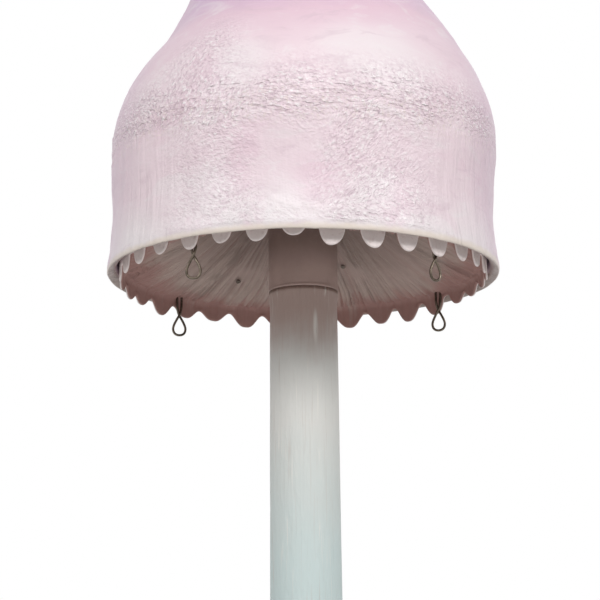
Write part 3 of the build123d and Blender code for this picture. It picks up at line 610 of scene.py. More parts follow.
# ---- finishes ----
@dataclass(frozen=True)
class CapLacquer:
    """Pearly lacquer over a crinkled laminate: white-pink below, lilac towards the crown."""

    rim: float = 1.0
    radius: float = 0.252
    beige: Colour = shade("e4d7cb")
    blush: Colour = shade("ead6dd")
    pale: Colour = shade("ece4e6")
    rose: Colour = shade("e0c0ce")
    lilac: Colour = shade("cfaecb")
    ridge_highlight: Colour = shade("faf4f5")
    violet: Colour = shade("cfaedd")
    dusk_tone_and_shade: Colour = shade("cdb4c0")
    # Lilac tint of the painted edge shade.
    edge_shade: Colour = shade("c49fb6")
    lip_underside_shade: Colour = shade("a08d84")
    crinkled_spots: tuple[Triple, ...] = (
        (-24, 164, 60), (-52, 165, 60), (-4, 168, 60), (27, 172, 70), (60, 158, 60), (18, 100, 70),
        (-18, 32, 50), (12, 24, 45), (-30, 225, 75), (26, 60, 60),
    )
    # Pale patches of the lacquer; the two lowest, 52 and 55 mm up at 21 and -27 degrees, are
    # painted highlights where the side lamps reflect.
    pale_and_highlight_spots: tuple[Triple, ...] = (
        (-17.7, 215, 55), (26.6, 225, 75), (14, 235, 60), (21, 52, 42), (-27, 55, 50),
    )
    rosy_spot: Triple = (4.7, 61.0, 45.0)
    upper_spot: Triple = (-30.0, 235.0, 95.0)
    knot_spot: Triple = (-23.0, 163.0, 36.0)
    quiet_spot: Triple = (-6.0, 90.0, 75.0)
    slanted_spot: Triple = (18.0, 100.0, 90.0)

    def spot(self, paint: Paint, where: Signal, place: Triple) -> Signal:
        """A soft patch, by degrees from the front and millimetres above the lip and of reach."""
        degrees, rise, reach = place
        centre = polar(self.radius, math.radians(degrees), self.rim + rise * MM)
        return paint.near(where, centre, reach * MM)

    def spots(self, paint: Paint, where: Signal, places: Sequence[Triple]) -> Signal:
        """Several soft patches together, from 0 to 1."""
        total = self.spot(paint, where, places[0])
        for place in places[1:]:
            total = total + self.spot(paint, where, place)
        return total.clamped()

    def tone(self, paint: Paint, where: Signal, height: Signal) -> Signal:
        """The lacquer's colour.

        Args:
            paint: the material being built.
            where: Object coordinates.
            height: height above the lip.

        Returns:
            The colour.
        """
        drift = paint.noise(where, 5.0, 3.0, 0.55) - 0.5
        level = ((height + drift * 0.12) / 0.5).clamped()
        stops = [
            (0.0, self.pale), (0.14, self.blush), (0.34, self.blush), (0.46, self.blush),
            (0.6, self.rose), (0.7, self.lilac), (1.0, self.lilac),
        ]
        blotches = paint.noise(where, 11.0, 4.0, 0.62, 0.5)
        smears = paint.grain(where, (16.0, 16.0, 42.0), 4.0, 0.6, 0.8)
        heading, radius = paint.spoke(where)
        # Painted edge shade, lilac-tinted, down the cap's left and right sides, stronger towards
        # the crown.
        sideways = abs(paint.axis(heading, "X")) + drift * 0.3
        side_edge_shade = sideways.rise(0.78, 1.02) * radius.rise(0.07, 0.15)
        fleck = paint.noise(where, 260.0, 2.0, 0.6)
        tint_share = height.rise(0.12, 0.145) * height.rise(0.19, 0.165)
        lip = (height + (paint.noise(where, 70.0, 3.0) - 0.5) * 0.007).rise(0.0085, 0.0005)
        # Painted shade on the lip's underside.
        under = radius.rise(0.2542, 0.2525) * height.rise(0.006, 0.003)
        return paint.coats(
            paint.ramp(level, stops),
            (blotches.rise(0.5, 0.7) * 0.5, self.rose),
            # Pale patches, two of them painted highlights.
            (self.spots(paint, where, self.pale_and_highlight_spots) * 0.55, self.pale),
            (self.spot(paint, where, self.rosy_spot) * 0.5, self.rose),
            (smears.rise(0.52, 0.72) * 0.45, self.pale),
            (smears.rise(0.46, 0.28) * 0.4, self.dusk_tone_and_shade),
            (side_edge_shade * (0.42 + height.rise(0.2, 0.4) * 0.28), self.edge_shade),
            (fleck.rise(0.5, 0.68) * (tint_share * 0.35 + 0.06), self.beige),
            (lip * 0.9, self.beige),
            (under, self.lip_underside_shade),
        )

    def crinkled(self, paint: Paint, where: Signal, height: Signal) -> tuple[Signal, Signal]:
        """Where the skin is crinkled, and where it only has upright streaks.

        Args:
            paint: the material being built.
            where: Object coordinates.
            height: height above the lip.

        Returns:
            Two shares from 0 to 1.
        """
        patches = paint.noise(where, 8.0, 2.0, 0.5, 0.3)
        heading, _ = paint.spoke(where)
        side = abs(paint.axis(heading, "X")).rise(0.56, 0.74) * height.rise(0.16, 0.135)
        band = height.rise(0.135, 0.16) * height.rise(0.21, 0.18)
        raised = self.spot(paint, where, self.upper_spot) * height.rise(0.17, 0.2) * 1.2
        upper = height.rise(0.245, 0.19) + raised
        cover = upper.clamped() * height.rise(0.004, 0.012) * (1.0 - side)
        marked = self.spots(paint, where, self.crinkled_spots)
        knot = self.spot(paint, where, self.knot_spot)
        quiet = self.spot(paint, where, self.quiet_spot) * 0.3
        depth = patches.rise(0.34, 0.62) * 0.42 + 0.1 + marked * 0.45 + band * 0.25 - quiet
        amount = cover * depth + knot * 0.7
        return (amount * 1.15).clamped(), (side * 0.9 + height.rise(0.17, 0.12) * 0.25).clamped()

    def material(self) -> Material:
        """Builds the finish."""
        paint = Paint("cap_lacquer")
        where = paint.where()
        height = paint.axis(where, "Z") - self.rim
        colour = self.tone(paint, where, height)
        patches = paint.noise(where, 9.0, 3.0, 0.55, 0.3).rise(0.47, 0.6)
        slanted = (self.spot(paint, where, self.slanted_spot) + patches).clamped()
        level_grain = paint.grain(where, (190.0, 190.0, 330.0), 1.0, 0.5, 0.5, -12.0)
        slant_grain = paint.grain(where, (190.0, 190.0, 370.0), 1.0, 0.5, 0.5, 50.0)
        grain = level_grain + (slant_grain - level_grain) * slanted
        pebbles = paint.noise(where, 230.0, 1.0, 0.5, 0.2)
        wrinkles = paint.creases(paint.stretched(where, (26.0, 26.0, 105.0)), 2.0, 0.5)
        streaks = paint.grain(where, (80.0, 80.0, 6.0), 2.0, 0.5, 0.3)
        crinkled, calm = self.crinkled(paint, where, height)
        rest = height.rise(0.3, 0.16)
        # Painted shade in the grain's hollows and painted highlight on its ridges, where the skin
        # is crinkled.
        colour = paint.coats(
            colour,
            (grain.rise(0.5, 0.3) * crinkled * 0.65, self.dusk_tone_and_shade),
            (grain.rise(0.52, 0.74) * crinkled * 0.8, self.ridge_highlight),
        )
        skin = paint.bump(pebbles * (crinkled * 0.8 + rest * 0.17 + 0.03), 0.0015, 0.9)
        grained = paint.bump(grain * (crinkled * 0.9 + rest * 0.08 + 0.02), 0.0026, 1.0, skin)
        folded = height.rise(0.125, 0.155) * height.rise(0.215, 0.185)
        wrinkled = paint.bump(wrinkles * crinkled * folded, 0.0011, 0.9, grained)
        brushed = paint.bump(streaks * calm, 0.0042, 0.9, wrinkled)
        return paint.surface(
            Base_Color=colour,
            Roughness=0.4 + pebbles * 0.14,
            Normal=brushed,
            Specular_IOR_Level=0.5,
            Coat_Weight=0.34,
            Coat_Roughness=0.28,
            Sheen_Weight=0.14,
            Sheen_Roughness=0.35,
            Sheen_Tint=self.violet,
        )


@dataclass(frozen=True)
class GillPaint:
    """Matt mushroom-brown paint that turns mauve near the scallops, with whitish pink fronts."""

    rim: float = 1.0
    brown: Colour = shade("c2aaa3")
    dark: Colour = shade("a9938c")
    shadow: Colour = shade("7d6963")
    crest: Colour = shade("cab5ac")
    mauve: Colour = shade("ae837d")
    front: Colour = shade("f8ecea")

    def material(self) -> Material:
        """Builds the finish, whose pleats and pale fronts are marked on the mesh."""
        paint = Paint("gill_paint")
        where = paint.where()
        height = paint.axis(where, "Z") - self.rim
        heading, radius = paint.spoke(where)
        cloud = paint.noise(where, 22.0, 4.0, 0.6, 0.3)
        speck = paint.noise(where, 180.0, 3.0, 0.6)
        spokes = paint.noise(heading, 34.0, 3.0, 0.6)
        deep = radius.rise(0.215, 0.05) * height.rise(-0.012, 0.045)
        sideways = abs(paint.axis(heading, "X")).rise(0.75, 1.0)
        reach = radius + sideways * 0.02 + (cloud - 0.5) * 0.06 + (spokes - 0.5) * 0.05
        edge = reach.rise(0.195, 0.235) * height.rise(0.06, 0.02)
        # Speckled wear on the scallop fronts, plus painted shade: mauve rising from 4 to 12 mm
        # above the lip, under its overhang.
        tint_share = speck.rise(0.5, 0.8) * 0.3 + height.rise(0.004, 0.012) * 0.4
        colour = paint.coats(
            paint.mix(cloud.rise(0.35, 0.7) * 0.5, self.brown, self.dark),
            (spokes.rise(0.5, 0.7) * radius.rise(0.05, 0.12) * 0.4, self.mauve),
            # Painted shade where the gills are gathered, and painted highlight along the pleats'
            # crests.
            (paint.attribute(Mark.GATHERED.value).rise(0.25, 0.9) * 0.3, self.shadow),
            (paint.attribute(Mark.CREST.value).rise(0.1, 0.7) * 0.65, self.crest),
            (deep * 0.85, self.shadow),
            (edge * 0.85, self.mauve),
            (speck.rise(0.55, 0.75) * 0.25, self.dark),
            (
                paint.attribute(Mark.OUTSIDE.value).rise(0.35, 0.75),
                paint.mix(tint_share, self.front, self.mauve),
            ),
        )
        normal = paint.bump(cloud * 0.5 + speck * 0.5, 0.0008, 0.4)
        return paint.surface(
            Base_Color=colour,
            Roughness=0.52 + speck * 0.2,
            Normal=paint.bump(spokes * radius.rise(0.05, 0.10), 0.0016, 0.6, normal),
            Specular_IOR_Level=0.35,
        )


@dataclass(frozen=True)
class BrushedPaint:
    """Thick paint brushed on along the stem: gill brown at the joint, partly painted shade under
    the cap, then off-white, then pale aqua.
    """

    joint: float = 0.977
    drip: tuple[float, float, float, float] = (0.044, 20.0, 0.924, 0.0046)
    drip_stretch: float = 0.16
    # Gill brown for the stem's top, which also paints the cap's shade there.
    brown: Colour = shade("bfa8a0")
    warm: Colour = shade("c4bab2")
    white: Colour = shade("dcdcd8")
    aqua: Colour = shade("d0dedd")
    deep: Colour = shade("c6dbdb")
    streak: Colour = shade("efece6")

    def material(self, name: str) -> Material:
        """Builds the finish.

        Args:
            name: the material's name.

        Returns:
            The material.
        """
        paint = Paint(name)
        where = paint.where()
        height = paint.axis(where, "Z")
        drift = (paint.noise(where, 14.0, 3.0, 0.6) - 0.5) * 0.12
        fall = ((self.joint - height + drift) / self.joint).clamped()
        stops = [
            (0.0, self.white), (0.17, self.white), (0.36, self.aqua), (0.7, self.deep),
            (1.0, self.deep),
        ]
        strokes = paint.grain(where, (230.0, 230.0, 8.0), 3.0, 0.6, 0.5)
        dabs = paint.creases(paint.stretched(where, (90.0, 90.0, 22.0)), 2.0, 0.6)
        patch = paint.grain(where, (34.0, 34.0, 12.0), 2.0, 0.5)
        # Gill brown over the stem's top, full to 35 mm below the joint and gone by 105 mm: a brown
        # tint that also paints the cap's shade on the stem.
        brown_tint_and_shade = height + drift * 0.45 + (strokes - 0.5) * 0.04
        brown_tint_and_shade = brown_tint_and_shade.rise(self.joint - 0.105, self.joint - 0.035)
        radius, degrees, level, width = self.drip
        drop = polar(radius, math.radians(degrees), level * self.drip_stretch)
        drip = paint.near(paint.stretched(where, (1.0, 1.0, self.drip_stretch)), drop, width)
        colour = paint.coats(
            paint.ramp(fall, stops),
            (brown_tint_and_shade * 0.95, self.brown),
            (strokes.rise(0.44, 0.25) * 0.4, self.warm),
            (strokes.rise(0.54, 0.74) * patch.rise(0.48, 0.62) * 0.75, self.streak),
            (drip * strokes.rise(0.3, 0.5) * 0.85, self.streak),
        )
        speck = paint.noise(where, 300.0, 2.0, 0.6)
        under = paint.bump(speck, 0.0004, 0.4)
        return paint.surface(
            Base_Color=colour,
            Roughness=0.42 + strokes * 0.22,
            Normal=paint.bump(strokes * 0.7 + dabs * 0.3, 0.0013, 0.7, under),
            Specular_IOR_Level=0.45,
        )


@dataclass(frozen=True)
class Metal:
    """A dull or bright metal with fine scratches and darker tarnish."""

    name: str
    bright: Colour
    tarnish: Colour
    roughness: float = 0.35
    grain: float = 300.0

    def material(self) -> Material:
        """Builds the finish."""
        paint = Paint(self.name)
        where = paint.where()
        cloud = paint.noise(where, 90.0, 4.0, 0.65, 0.4)
        scratches = paint.grain(where, (self.grain, self.grain, self.grain * 3.0), 2.0, 0.6)
        colour = paint.mix(cloud.rise(0.42, 0.7) * 0.8, self.bright, self.tarnish)
        return paint.surface(
            Base_Color=colour,
            Metallic=1.0,
            Roughness=self.roughness + cloud * 0.15 + scratches * 0.08,
            Normal=paint.bump(scratches, 0.0002, 0.3),
        )


@dataclass(frozen=True)
class Moulded:
    """Moulded or painted stuff with a faint orange peel and uneven tone."""

    name: str
    colour: Colour
    darker: Colour
    roughness: float = 0.45
    peel: float = 420.0
    depth: float = 0.0003
    coat: float = 0.0

    def material(self) -> Material:
        """Builds the finish."""
        paint = Paint(self.name)
        where = paint.where()
        cloud = paint.noise(where, 35.0, 3.0, 0.6)
        peel = paint.noise(where, self.peel, 2.0, 0.5)
        colour = paint.mix(cloud.rise(0.35, 0.75), self.colour, self.darker)
        return paint.surface(
            Base_Color=colour,
            Roughness=self.roughness + cloud * 0.12,
            Normal=paint.bump(peel, self.depth, 0.4),
            Coat_Weight=self.coat,
        )


@dataclass(frozen=True)
class Plywood:
    """Bare birch plywood: pale plies with brown glue lines, and long grain on its faces."""

    pale: Colour = shade("d9bd8f")
    brown: Colour = shade("a9814f")

    def material(self) -> Material:
        """Builds the finish."""
        paint = Paint("plywood")
        where = paint.where()
        grain = paint.grain(where, (12.0, 160.0, 160.0), 4.0, 0.6, 0.6)
        waves = {"Vector": where, "Scale": 130.0}
        plies = paint.node("ShaderNodeTexWave", {"bands_direction": "Z"}, waves, "Fac")
        return paint.surface(
            Base_Color=paint.mix(grain.rise(0.4, 0.7) * 0.7 + plies * 0.25, self.pale, self.brown),
            Roughness=0.6 + grain * 0.2,
            Normal=paint.bump(grain, 0.0003, 0.4),
        )


def fitting_finishes() -> dict[str, Material]:
    """Makes the finishes of the wire and of the fittings that keep their own solids.

    Returns:
        Materials by the record's slot names.
    """
    metals = [
        Metal("zinc", shade("c9c8c2"), shade("8f8d86")),
        Metal("screw_steel", shade("857a72"), shade("574d47"), 0.55),
        Metal("spigot_steel", shade("b9b9b6"), shade("7e7c78"), 0.28),
        Metal("brass", shade("d8b56a"), shade("9a7a40"), 0.3),
        Metal("bulb_metal", shade("d6d6d4"), shade("a5a5a2"), 0.25),
        Metal("eye_wire", shade("6f655a"), shade("3f372f"), 0.22),
    ]
    moulded = [
        Moulded("holder_plastic", shade("f0efe9"), shade("e2e0d8"), 0.3),
        Moulded("holder_ceramic", shade("efece2"), shade("dcd7ca"), 0.2, coat=0.4),
        Moulded("bulb_plastic", shade("efefee"), shade("dfdfde"), 0.35),
        Moulded("bulb_diffuser", shade("f4f2ec"), shade("e9e6de"), 0.5),
        Moulded("plate_paint", shade("4a4d50"), shade("393b3e"), 0.55, 900.0, 0.0004),
        Moulded("rubber", shade("33332f"), shade("242422"), 0.75, 700.0, 0.0003),
        Moulded("gland_plastic", shade("d9dcda"), shade("c6cac8"), 0.5),
        Moulded("lead_sheath", shade("e9e9e4"), shade("d8d8d2"), 0.45),
    ]
    made = {finish.name: finish.material() for finish in (*metals, *moulded)}
    made["plywood"] = Plywood().material()
    return made


# ---- the cap ----
def gill_height(radius: float) -> float:
    """Height of the gills' underside above the lip, a shallow arc that bellies down.

    Args:
        radius: distance from the lamp's axis, in metres.

    Returns:
        Height above the lip, in metres.
    """
    inner, outer, low, high, sag = 0.045, 0.235, 0.004, 0.115, 0.008
    run, climb = outer - inner, high - low
    chord = math.hypot(run, climb)
    arc = (chord**2 / 4 + sag**2) / (2 * sag)
    centre_run = run / 2 - (arc - sag) * climb / chord
    centre_climb = climb / 2 + (arc - sag) * run / chord
    reach = outer - min(max(radius, inner), outer)
    return low + centre_climb - math.sqrt(arc**2 - (reach - centre_run) ** 2)


@dataclass
class CapShell:
    """The bell-shaped cap with its rolled lip, its lean to the right and its crinkled shoulder."""

    rim: float = 1.0
    limit: float = 0.2553
    columns: int = 440
    upper_rows: int = 58
    lower_rows: int = 138
    inner_rows: int = 26
    upper_share: float = 0.57
    lip_inside: float = 0.2475
    lip_top: float = 0.05
    crown_calm: tuple[float, float] = (0.002, 0.12)
    outer_knots: Pairs = (
        (0, 525), (40, 517), (80, 491), (116, 450), (141, 405), (157.9, 370), (175.3, 340),
        (199.9, 300), (226.8, 260), (244.8, 220), (253.6, 180), (253.8, 145), (251.4, 100),
        (250.4, 70), (252.4, 40), (254.4, 20), (255.4, 9), (255.4, 2.6), (254.7, 0.5), (253.4, 0),
        (250.6, 1), (246.6, 3), (243.6, 5), (242.6, 9),
    )
    inner_knots: Pairs = (
        (242.6, 9), (242.6, 36), (245.4, 90), (247.6, 168), (232, 235), (208, 275), (158, 358),
        (110, 447), (60, 497), (0, 519),
    )
    lean_knots: Pairs = (
        (0, 0), (110, 0), (150, 2.2), (196, 4), (239, 5.1), (260, 7.3), (282, 9), (303, 12),
        (325, 11.6), (346, 9.4), (370, 6.2), (450, 1), (525, 0),
    )
    crinkle_spots: tuple[tuple[float, float, float, float], ...] = (
        (-23, 162, 16, 34), (-50, 165, 16, 28), (-4, 165, 18, 24), (27, 170, 15, 34),
        (58, 158, 20, 24), (14, 110, 12, 36), (-20, 30, 13, 18), (14, 20, 18, 12),
        (150, 165, 34, 30), (-130, 160, 30, 32), (100, 168, 20, 26), (-85, 160, 18, 28),
        (175, 60, 20, 30), (-150, 95, 14, 34), (120, 60, 14, 24),
    )
    outer: Outline = field(init=False)
    inner: Outline = field(init=False)

    def __post_init__(self) -> None:
        """Lays out the two faces of the shell."""
        self.outer, self.inner = Outline(self.outer_knots), Outline(self.inner_knots)

    def crinkled(self, angle: float, rise: float) -> float:
        """How crinkled the skin is at an angle and a rise in millimetres, from 0 to 1."""
        degrees = math.degrees(angle)
        total = 0.3 * smooth(rise, 110.0, 145.0) * (1.0 - smooth(rise, 195.0, 235.0))
        for centre, level, spread, reach in self.crinkle_spots:
            away = (degrees - centre + 180.0) % 360.0 - 180.0
            total += bell(away, 0.0, spread) * bell(rise, level, reach)
        return min(1.0, total)

    def relief(self, angle: float, height: float) -> float:
        """How far the skin stands proud of its outline.

        Args:
            angle: angle from the front, in radians.
            height: height above the lip, in metres.

        Returns:
            Depth in metres.
        """
        rise = height / MM
        calm = smooth(rise, 6.0, 30.0)
        lumps = 1.2 * round_noise(angle, rise / 95.0, 2.6, 3.0)
        dents = 0.9 * round_noise(angle, rise / 42.0, 6.0, 11.0)
        crinkled = self.crinkled(angle, rise)
        warp = 1.6 * round_noise(angle, rise / 55.0, 4.0, 5.0)
        slant = 0.0 if rise > 150.0 else 3.0 * math.sin(angle * 3.0)
        wave = crease(round_noise(angle, rise / 17.0 + warp + slant, 7.0, 21.0))
        ripple = crease(round_noise(angle, rise / 9.5 + 1.5 * warp - slant, 15.0, 27.0))
        fine = round_noise(angle, rise / 8.0, 30.0, 31.0)
        skin = crinkled * (0.8 * wave + 0.3 * ripple) + (0.15 + 0.3 * crinkled) * fine
        low = 1.0 - smooth(rise, 12.0, 40.0)
        folded_edge = 0.5 * round_noise(angle, rise / 12.0, 9.0, 41.0) * low
        return ((lumps + dents + skin) * calm + folded_edge - 0.6 - 0.8 * calm) * MM

    @staticmethod
    def droop(angle: float) -> float:
        """How far the lip's lower edge hangs below its plane, in metres."""
        return (2.6 + 1.0 * math.sin(angle) + 0.5 * round_noise(angle, 0.3, 7.0, 45.0)) * MM

    def place(self, across: float, along: float) -> Vector:
        """A point of the shell, outside from the crown to the lip and back inside.

        Args:
            across: share of a turn.
            along: share of the way down and back.

        Returns:
            The point.
        """
        angle = turn_angle(across)
        rows = self.upper_rows + self.lower_rows + self.inner_rows
        upper, turn = self.upper_rows / rows, (self.upper_rows + self.lower_rows) / rows
        if along <= turn:
            share = between(along, ((0.0, 0.0), (upper, self.upper_share), (turn, 1.0)))
            radius, height, normal = self.outer.at(share)
            inside = radius < self.lip_inside and height < self.lip_top
            depth = 0.0 if inside else self.relief(angle, height) * smooth(radius, *self.crown_calm)
            radius -= normal.x * depth
            height -= normal.y * depth
            lowered = (1.0 - smooth(height, 0.003, 0.03)) * smooth(radius, 0.2425, 0.2495)
            height -= self.droop(angle) * lowered
        else:
            radius, height, _ = self.inner.at((along - turn) / (1.0 - turn))
        point = polar(radius, angle, self.rim + height)
        point.x += between(height / MM, self.lean_knots) * MM
        reach = math.hypot(point.x, point.y)
        if reach > self.limit:
            point.x, point.y = point.x * self.limit / reach, point.y * self.limit / reach
        return point

    def build(self, material: Material) -> Piece:
        """Builds the cap shell."""
        grid = (self.columns, self.upper_rows + self.lower_rows + self.inner_rows)
        seat = (Body.CAP, Slot.CAP, "cap_shell")
        return sheet_piece(grid, self.place, "cap_skin", material, seat)


@dataclass
class Gills:
    """The radial gills and the scalloped skirt that they run down into, in one sheet."""

    rim: float = 1.0
    columns: int = 960
    skirt_inside: float = 235.2
    skirt_outside: float = 239.0
    skirt_top: float = 14.0
    hub: float = 45.1
    bend_start: float = 225.0
    wall: float = 6.0
    fade: float = 3.0
    rows: tuple[int, ...] = (56, 8, 6, 8, 8, 10, 2)
    tips: Pairs = (
        (-171.5, -20), (-160, -23), (-148, -17.5), (-136.5, -19), (-125, -22), (-113, -17),
        (-104, -16.5), (-92.5, -15), (-81.5, -14), (-70.5, -13), (-59, -11.5), (-47.5, -9),
        (-35.2, -12), (-24.5, -10), (-13.5, -11.5), (-2.8, -6), (8, -18.5), (21, -19.5),
        (32, -18.5), (44, -18), (56, -14.5), (66.5, -13), (76.5, -12), (86.5, -12), (96, -12),
        (108, -13.5), (118, -14.5), (130, -21.5), (142, -23.5), (152.5, -21.5), (164, -23.5),
        (176, -20),
    )
    valleys: tuple[float, ...] = (
        -5.5, -5, -6.5, -6, -4.5, -9, -5, -1, 3, 7, 9, 10, 10, 10, 10, 10, 10, 10, 10, 10, 9, 7, 4,
        1, -2, -5, 1, -3, -3, -4.5, -7, -6,
    )
    screws: Pairs = ((149, 21.7), (179, -30), (168, -152), (168, 152))
    gathers: tuple[Triple, ...] = (
        (1, 160, 30), (1, -145, 32), (1, 95, 14), (1, -95, 16), (0.7, 5, 45),
    )
    pleat: float = 5.2

    def edge(self, angle: float) -> tuple[float, float]:
        """The scalloped edge at one angle.

        Args:
            angle: angle from the front, in radians.

        Returns:
            Its height above the lip in millimetres, below zero at the tips, and how near it is to
            a tip, from 0 to 1.
        """
        first = self.tips[0][0]
        place = (math.degrees(angle) - first) % 360.0 + first
        count = len(self.tips)
        wobble = 0.7 * round_noise(angle, 0.5, 20.0, 7.0)
        for index, (start, tip) in enumerate(self.tips):
            end, next_tip = self.tips[(index + 1) % count]
            end += 360.0 if index == count - 1 else 0.0
            if place < end:
                share = (place - start) / (end - start)
                side = tip if share < 0.5 else next_tip
                away = 2.0 * min(share, 1.0 - share)
                reach = 0.68 - 0.1 * bell(math.degrees(angle), -40.0, 24.0)
                valley = self.valleys[index]
                inner = max(0.0, 1.0 - (away / reach) ** 2.2) if away < reach else 0.0
                round_lobe = 1.0 - math.sqrt(inner)
                soft_lobe = 0.5 - 0.5 * math.cos(math.pi * away**1.3)
                lobe = soft_lobe + (round_lobe - soft_lobe) * smooth(valley, -5.0, 5.0)
                return valley + (side - valley) * (1.0 - lobe) + wobble, 1.0 - lobe
        return self.valleys[-1], 0.0

    def fold(self, angle: float, radius: float) -> tuple[float, float]:
        """How far the pleats hang below the gills' plain surface.

        Args:
            angle: angle from the front, in radians.
            radius: distance from the axis, in millimetres.

        Returns:
            Depth of the pleat in millimetres, and how gathered the gills are there, from 0 to 1.
        """
        degrees = math.degrees(angle)
        share = smooth(radius, self.hub - 10.0, 150.0)
        turned = angle + 0.10 * round_noise(angle, radius / 110.0, 3.0, 9.0)
        gathered = sum(weight * bell(degrees, at, reach) for weight, at, reach in self.gathers)
        outer = smooth(radius, 175.0, 225.0)
        uneven = 0.6 + 0.8 * round_noise(angle, radius / 150.0, 4.0, 13.0)
        strength = min(1.0, 0.22 + 0.35 * outer + gathered * uneven)
        for circle, place in self.screws:
            away = math.hypot(radius - circle, math.radians(degrees - place) * circle)
            strength *= 1.0 - 0.8 * bell(away, 0.0, 14.0)
        broad = crease(round_noise(turned, radius / 330.0, 44.0, 17.0) * 0.45)
        narrow = crease(round_noise(turned, radius / 240.0, 78.0, 23.0) * 0.5)
        depth = self.pleat * broad + self.pleat / 2 * narrow
        return depth * strength * share, strength * share

    def section(self, angle: float, edge: tuple[float, float], row: int) -> tuple[float, float]:
        """One point of the sheet's section, in millimetres.

        Args:
            angle: angle from the front, in radians.
            edge: height of the scalloped edge there, and its nearness to a tip.
            row: which row, counted from the hub outwards along the underside.

        Returns:
            Radius, and height above the lip.
        """
        under, bend, inside, tip, outside, back, _ = self.rows
        half = (self.skirt_outside - self.skirt_inside) / 2
        middle = self.skirt_inside + half
        low, tipped = edge
        bend_end = max(-3.0, low + half + 0.3)
        hang = 0.8 * round_noise(angle, 0.0, 5.0, 19.0) + 1.8 * tipped - 0.9
        if row <= under:
            radius = self.hub + (self.bend_start - self.hub) * (row / under) ** 0.9
            return radius, gill_height(radius * MM) / MM + 2.2 - self.fold(angle, radius)[0]
        row -= under
        start = gill_height(self.bend_start * MM) / MM
        if row <= bend:
            share = row / bend
            pleat = self.fold(angle, self.bend_start)[0] * (1.0 - 0.75 * share)
            radius = self.bend_start
            radius += (self.skirt_inside - self.bend_start) * (2.0 * share - share * share)
            height = start + 2.2 * (1.0 - share) + (bend_end - start) * share * share
            return radius - 0.4 * pleat * share, height - pleat * (1.0 - share)
        row -= bend
        pleat = 0.1 * self.fold(angle, self.bend_start)[0]
        if row <= inside:
            share = row / inside
            height = bend_end + (low + half - bend_end) * share
            return self.skirt_inside - pleat * (1.0 - share) + self.lean(hang, height), height
        row -= inside
        if row <= tip:
            sweep = math.pi * row / tip
            height = low + half - half * math.sin(sweep)
            return middle - half * math.cos(sweep) + self.lean(hang, height), height
        row -= tip
        if row <= outside:
            height = low + half + (self.skirt_top - low - half) * row / outside
            return self.skirt_outside + self.lean(hang, height), height
        row -= outside
        if row <= back:
            radius = self.skirt_outside + (self.hub - self.skirt_outside) * row / back
            skirt = self.skirt_top * (1.0 - row / back)
            return radius, max(gill_height(radius * MM) / MM + self.wall, skirt)
        if row == back + 1:
            return self.hub, gill_height(self.hub * MM) / MM + 4.0
        return self.section(angle, edge, 0)

    @staticmethod
    def lean(hang: float, height: float) -> float:
        """How far a scallop swings in or out at a height, more towards its tip."""
        return hang * min(1.0, max(0.0, (4.0 - height) / 24.0))

    def build(self, material: Material) -> Piece:
        """Builds the gills and their skirt."""
        total = sum(self.rows)
        edges = [self.edge(turn_angle(column / self.columns)) for column in range(self.columns + 1)]

        def place(across: float, along: float) -> Vector:
            """A point of the sheet."""
            angle = turn_angle(across)
            edge = edges[round(across * self.columns) % self.columns]
            radius, height = self.section(angle, edge, round(along * total))
            return polar(radius * MM, angle, self.rim + height * MM)

        mesh = bent_sheet(self.columns, total, place)
        outside, crest, gathered = (mesh.verts.layers.float.new(mark.value) for mark in Mark)
        middle = (self.skirt_inside + self.skirt_outside) / 2
        for vert in mesh.verts:
            radius = math.hypot(vert.co.x, vert.co.y) / MM
            vert[outside] = min(1.0, max(0.0, 0.5 + (radius - middle) / self.fade))
            angle = math.atan2(vert.co.x, -vert.co.y)
            depth, strength = self.fold(angle, min(radius, self.bend_start))
            vert[crest], vert[gathered] = depth / self.pleat, strength
        return settle(finished(mesh, "gill_pleats", material), Body.CAP, Slot.GILLS, "gill_panel")


@dataclass
class Collar:
    """The tube under the gills whose lower edge is the raised joint line."""

    rim: float = 1.0
    grid: tuple[int, int] = (128, 340)
    seen_from: float = 0.0442
    seen_to: float = 0.11
    sleeve: float = 0.0451
    bulge: float = 0.0007
    unevenness: float = 0.0003
    knots: Pairs = (
        (40.4, 118), (40.4, 60), (40.4, -22.8), (41.5, -23), (45.2, -23), (45.8, -22.2),
        (45.8, -20.6), (45, -19.4), (44.8, -16), (45, 20), (45.2, 80), (46.5, 112), (49, 121),
        (71.5, 121.4), (71.5, 126.6), (40.4, 126.6), (40.4, 118),
    )

    def build(self, material: Material) -> Piece:
        """Builds the collar."""
        section = metres(self.knots)
        lengths = [0.0]
        for (start, low), (end, high) in zip(section, section[1:]):
            lengths.append(lengths[-1] + math.hypot(end - start, high - low))
        radii = [(length, radius) for length, (radius, _) in zip(lengths, section)]
        heights = [(length, height) for length, (_, height) in zip(lengths, section)]

        def place(across: float, along: float) -> Vector:
            """A point of the collar."""
            angle = turn_angle(across)
            radius = between(along * lengths[-1], radii)
            height = between(along * lengths[-1], heights)
            if radius > self.seen_from and height < self.seen_to:
                radius += self.unevenness * round_noise(angle, height / 0.02, 3.0, 5.0)
                degrees = math.degrees(angle)
                shown = bell(degrees, 0.0, 55.0) + bell(degrees, 175.0, 40.0)
                radius = min(radius, self.sleeve + self.bulge * shown)
            return polar(radius, angle, self.rim + height)

        seat = (Body.CAP, Slot.GILLS, "collar_sleeve")
        return sheet_piece(self.grid, place, "collar_tube", material, seat)


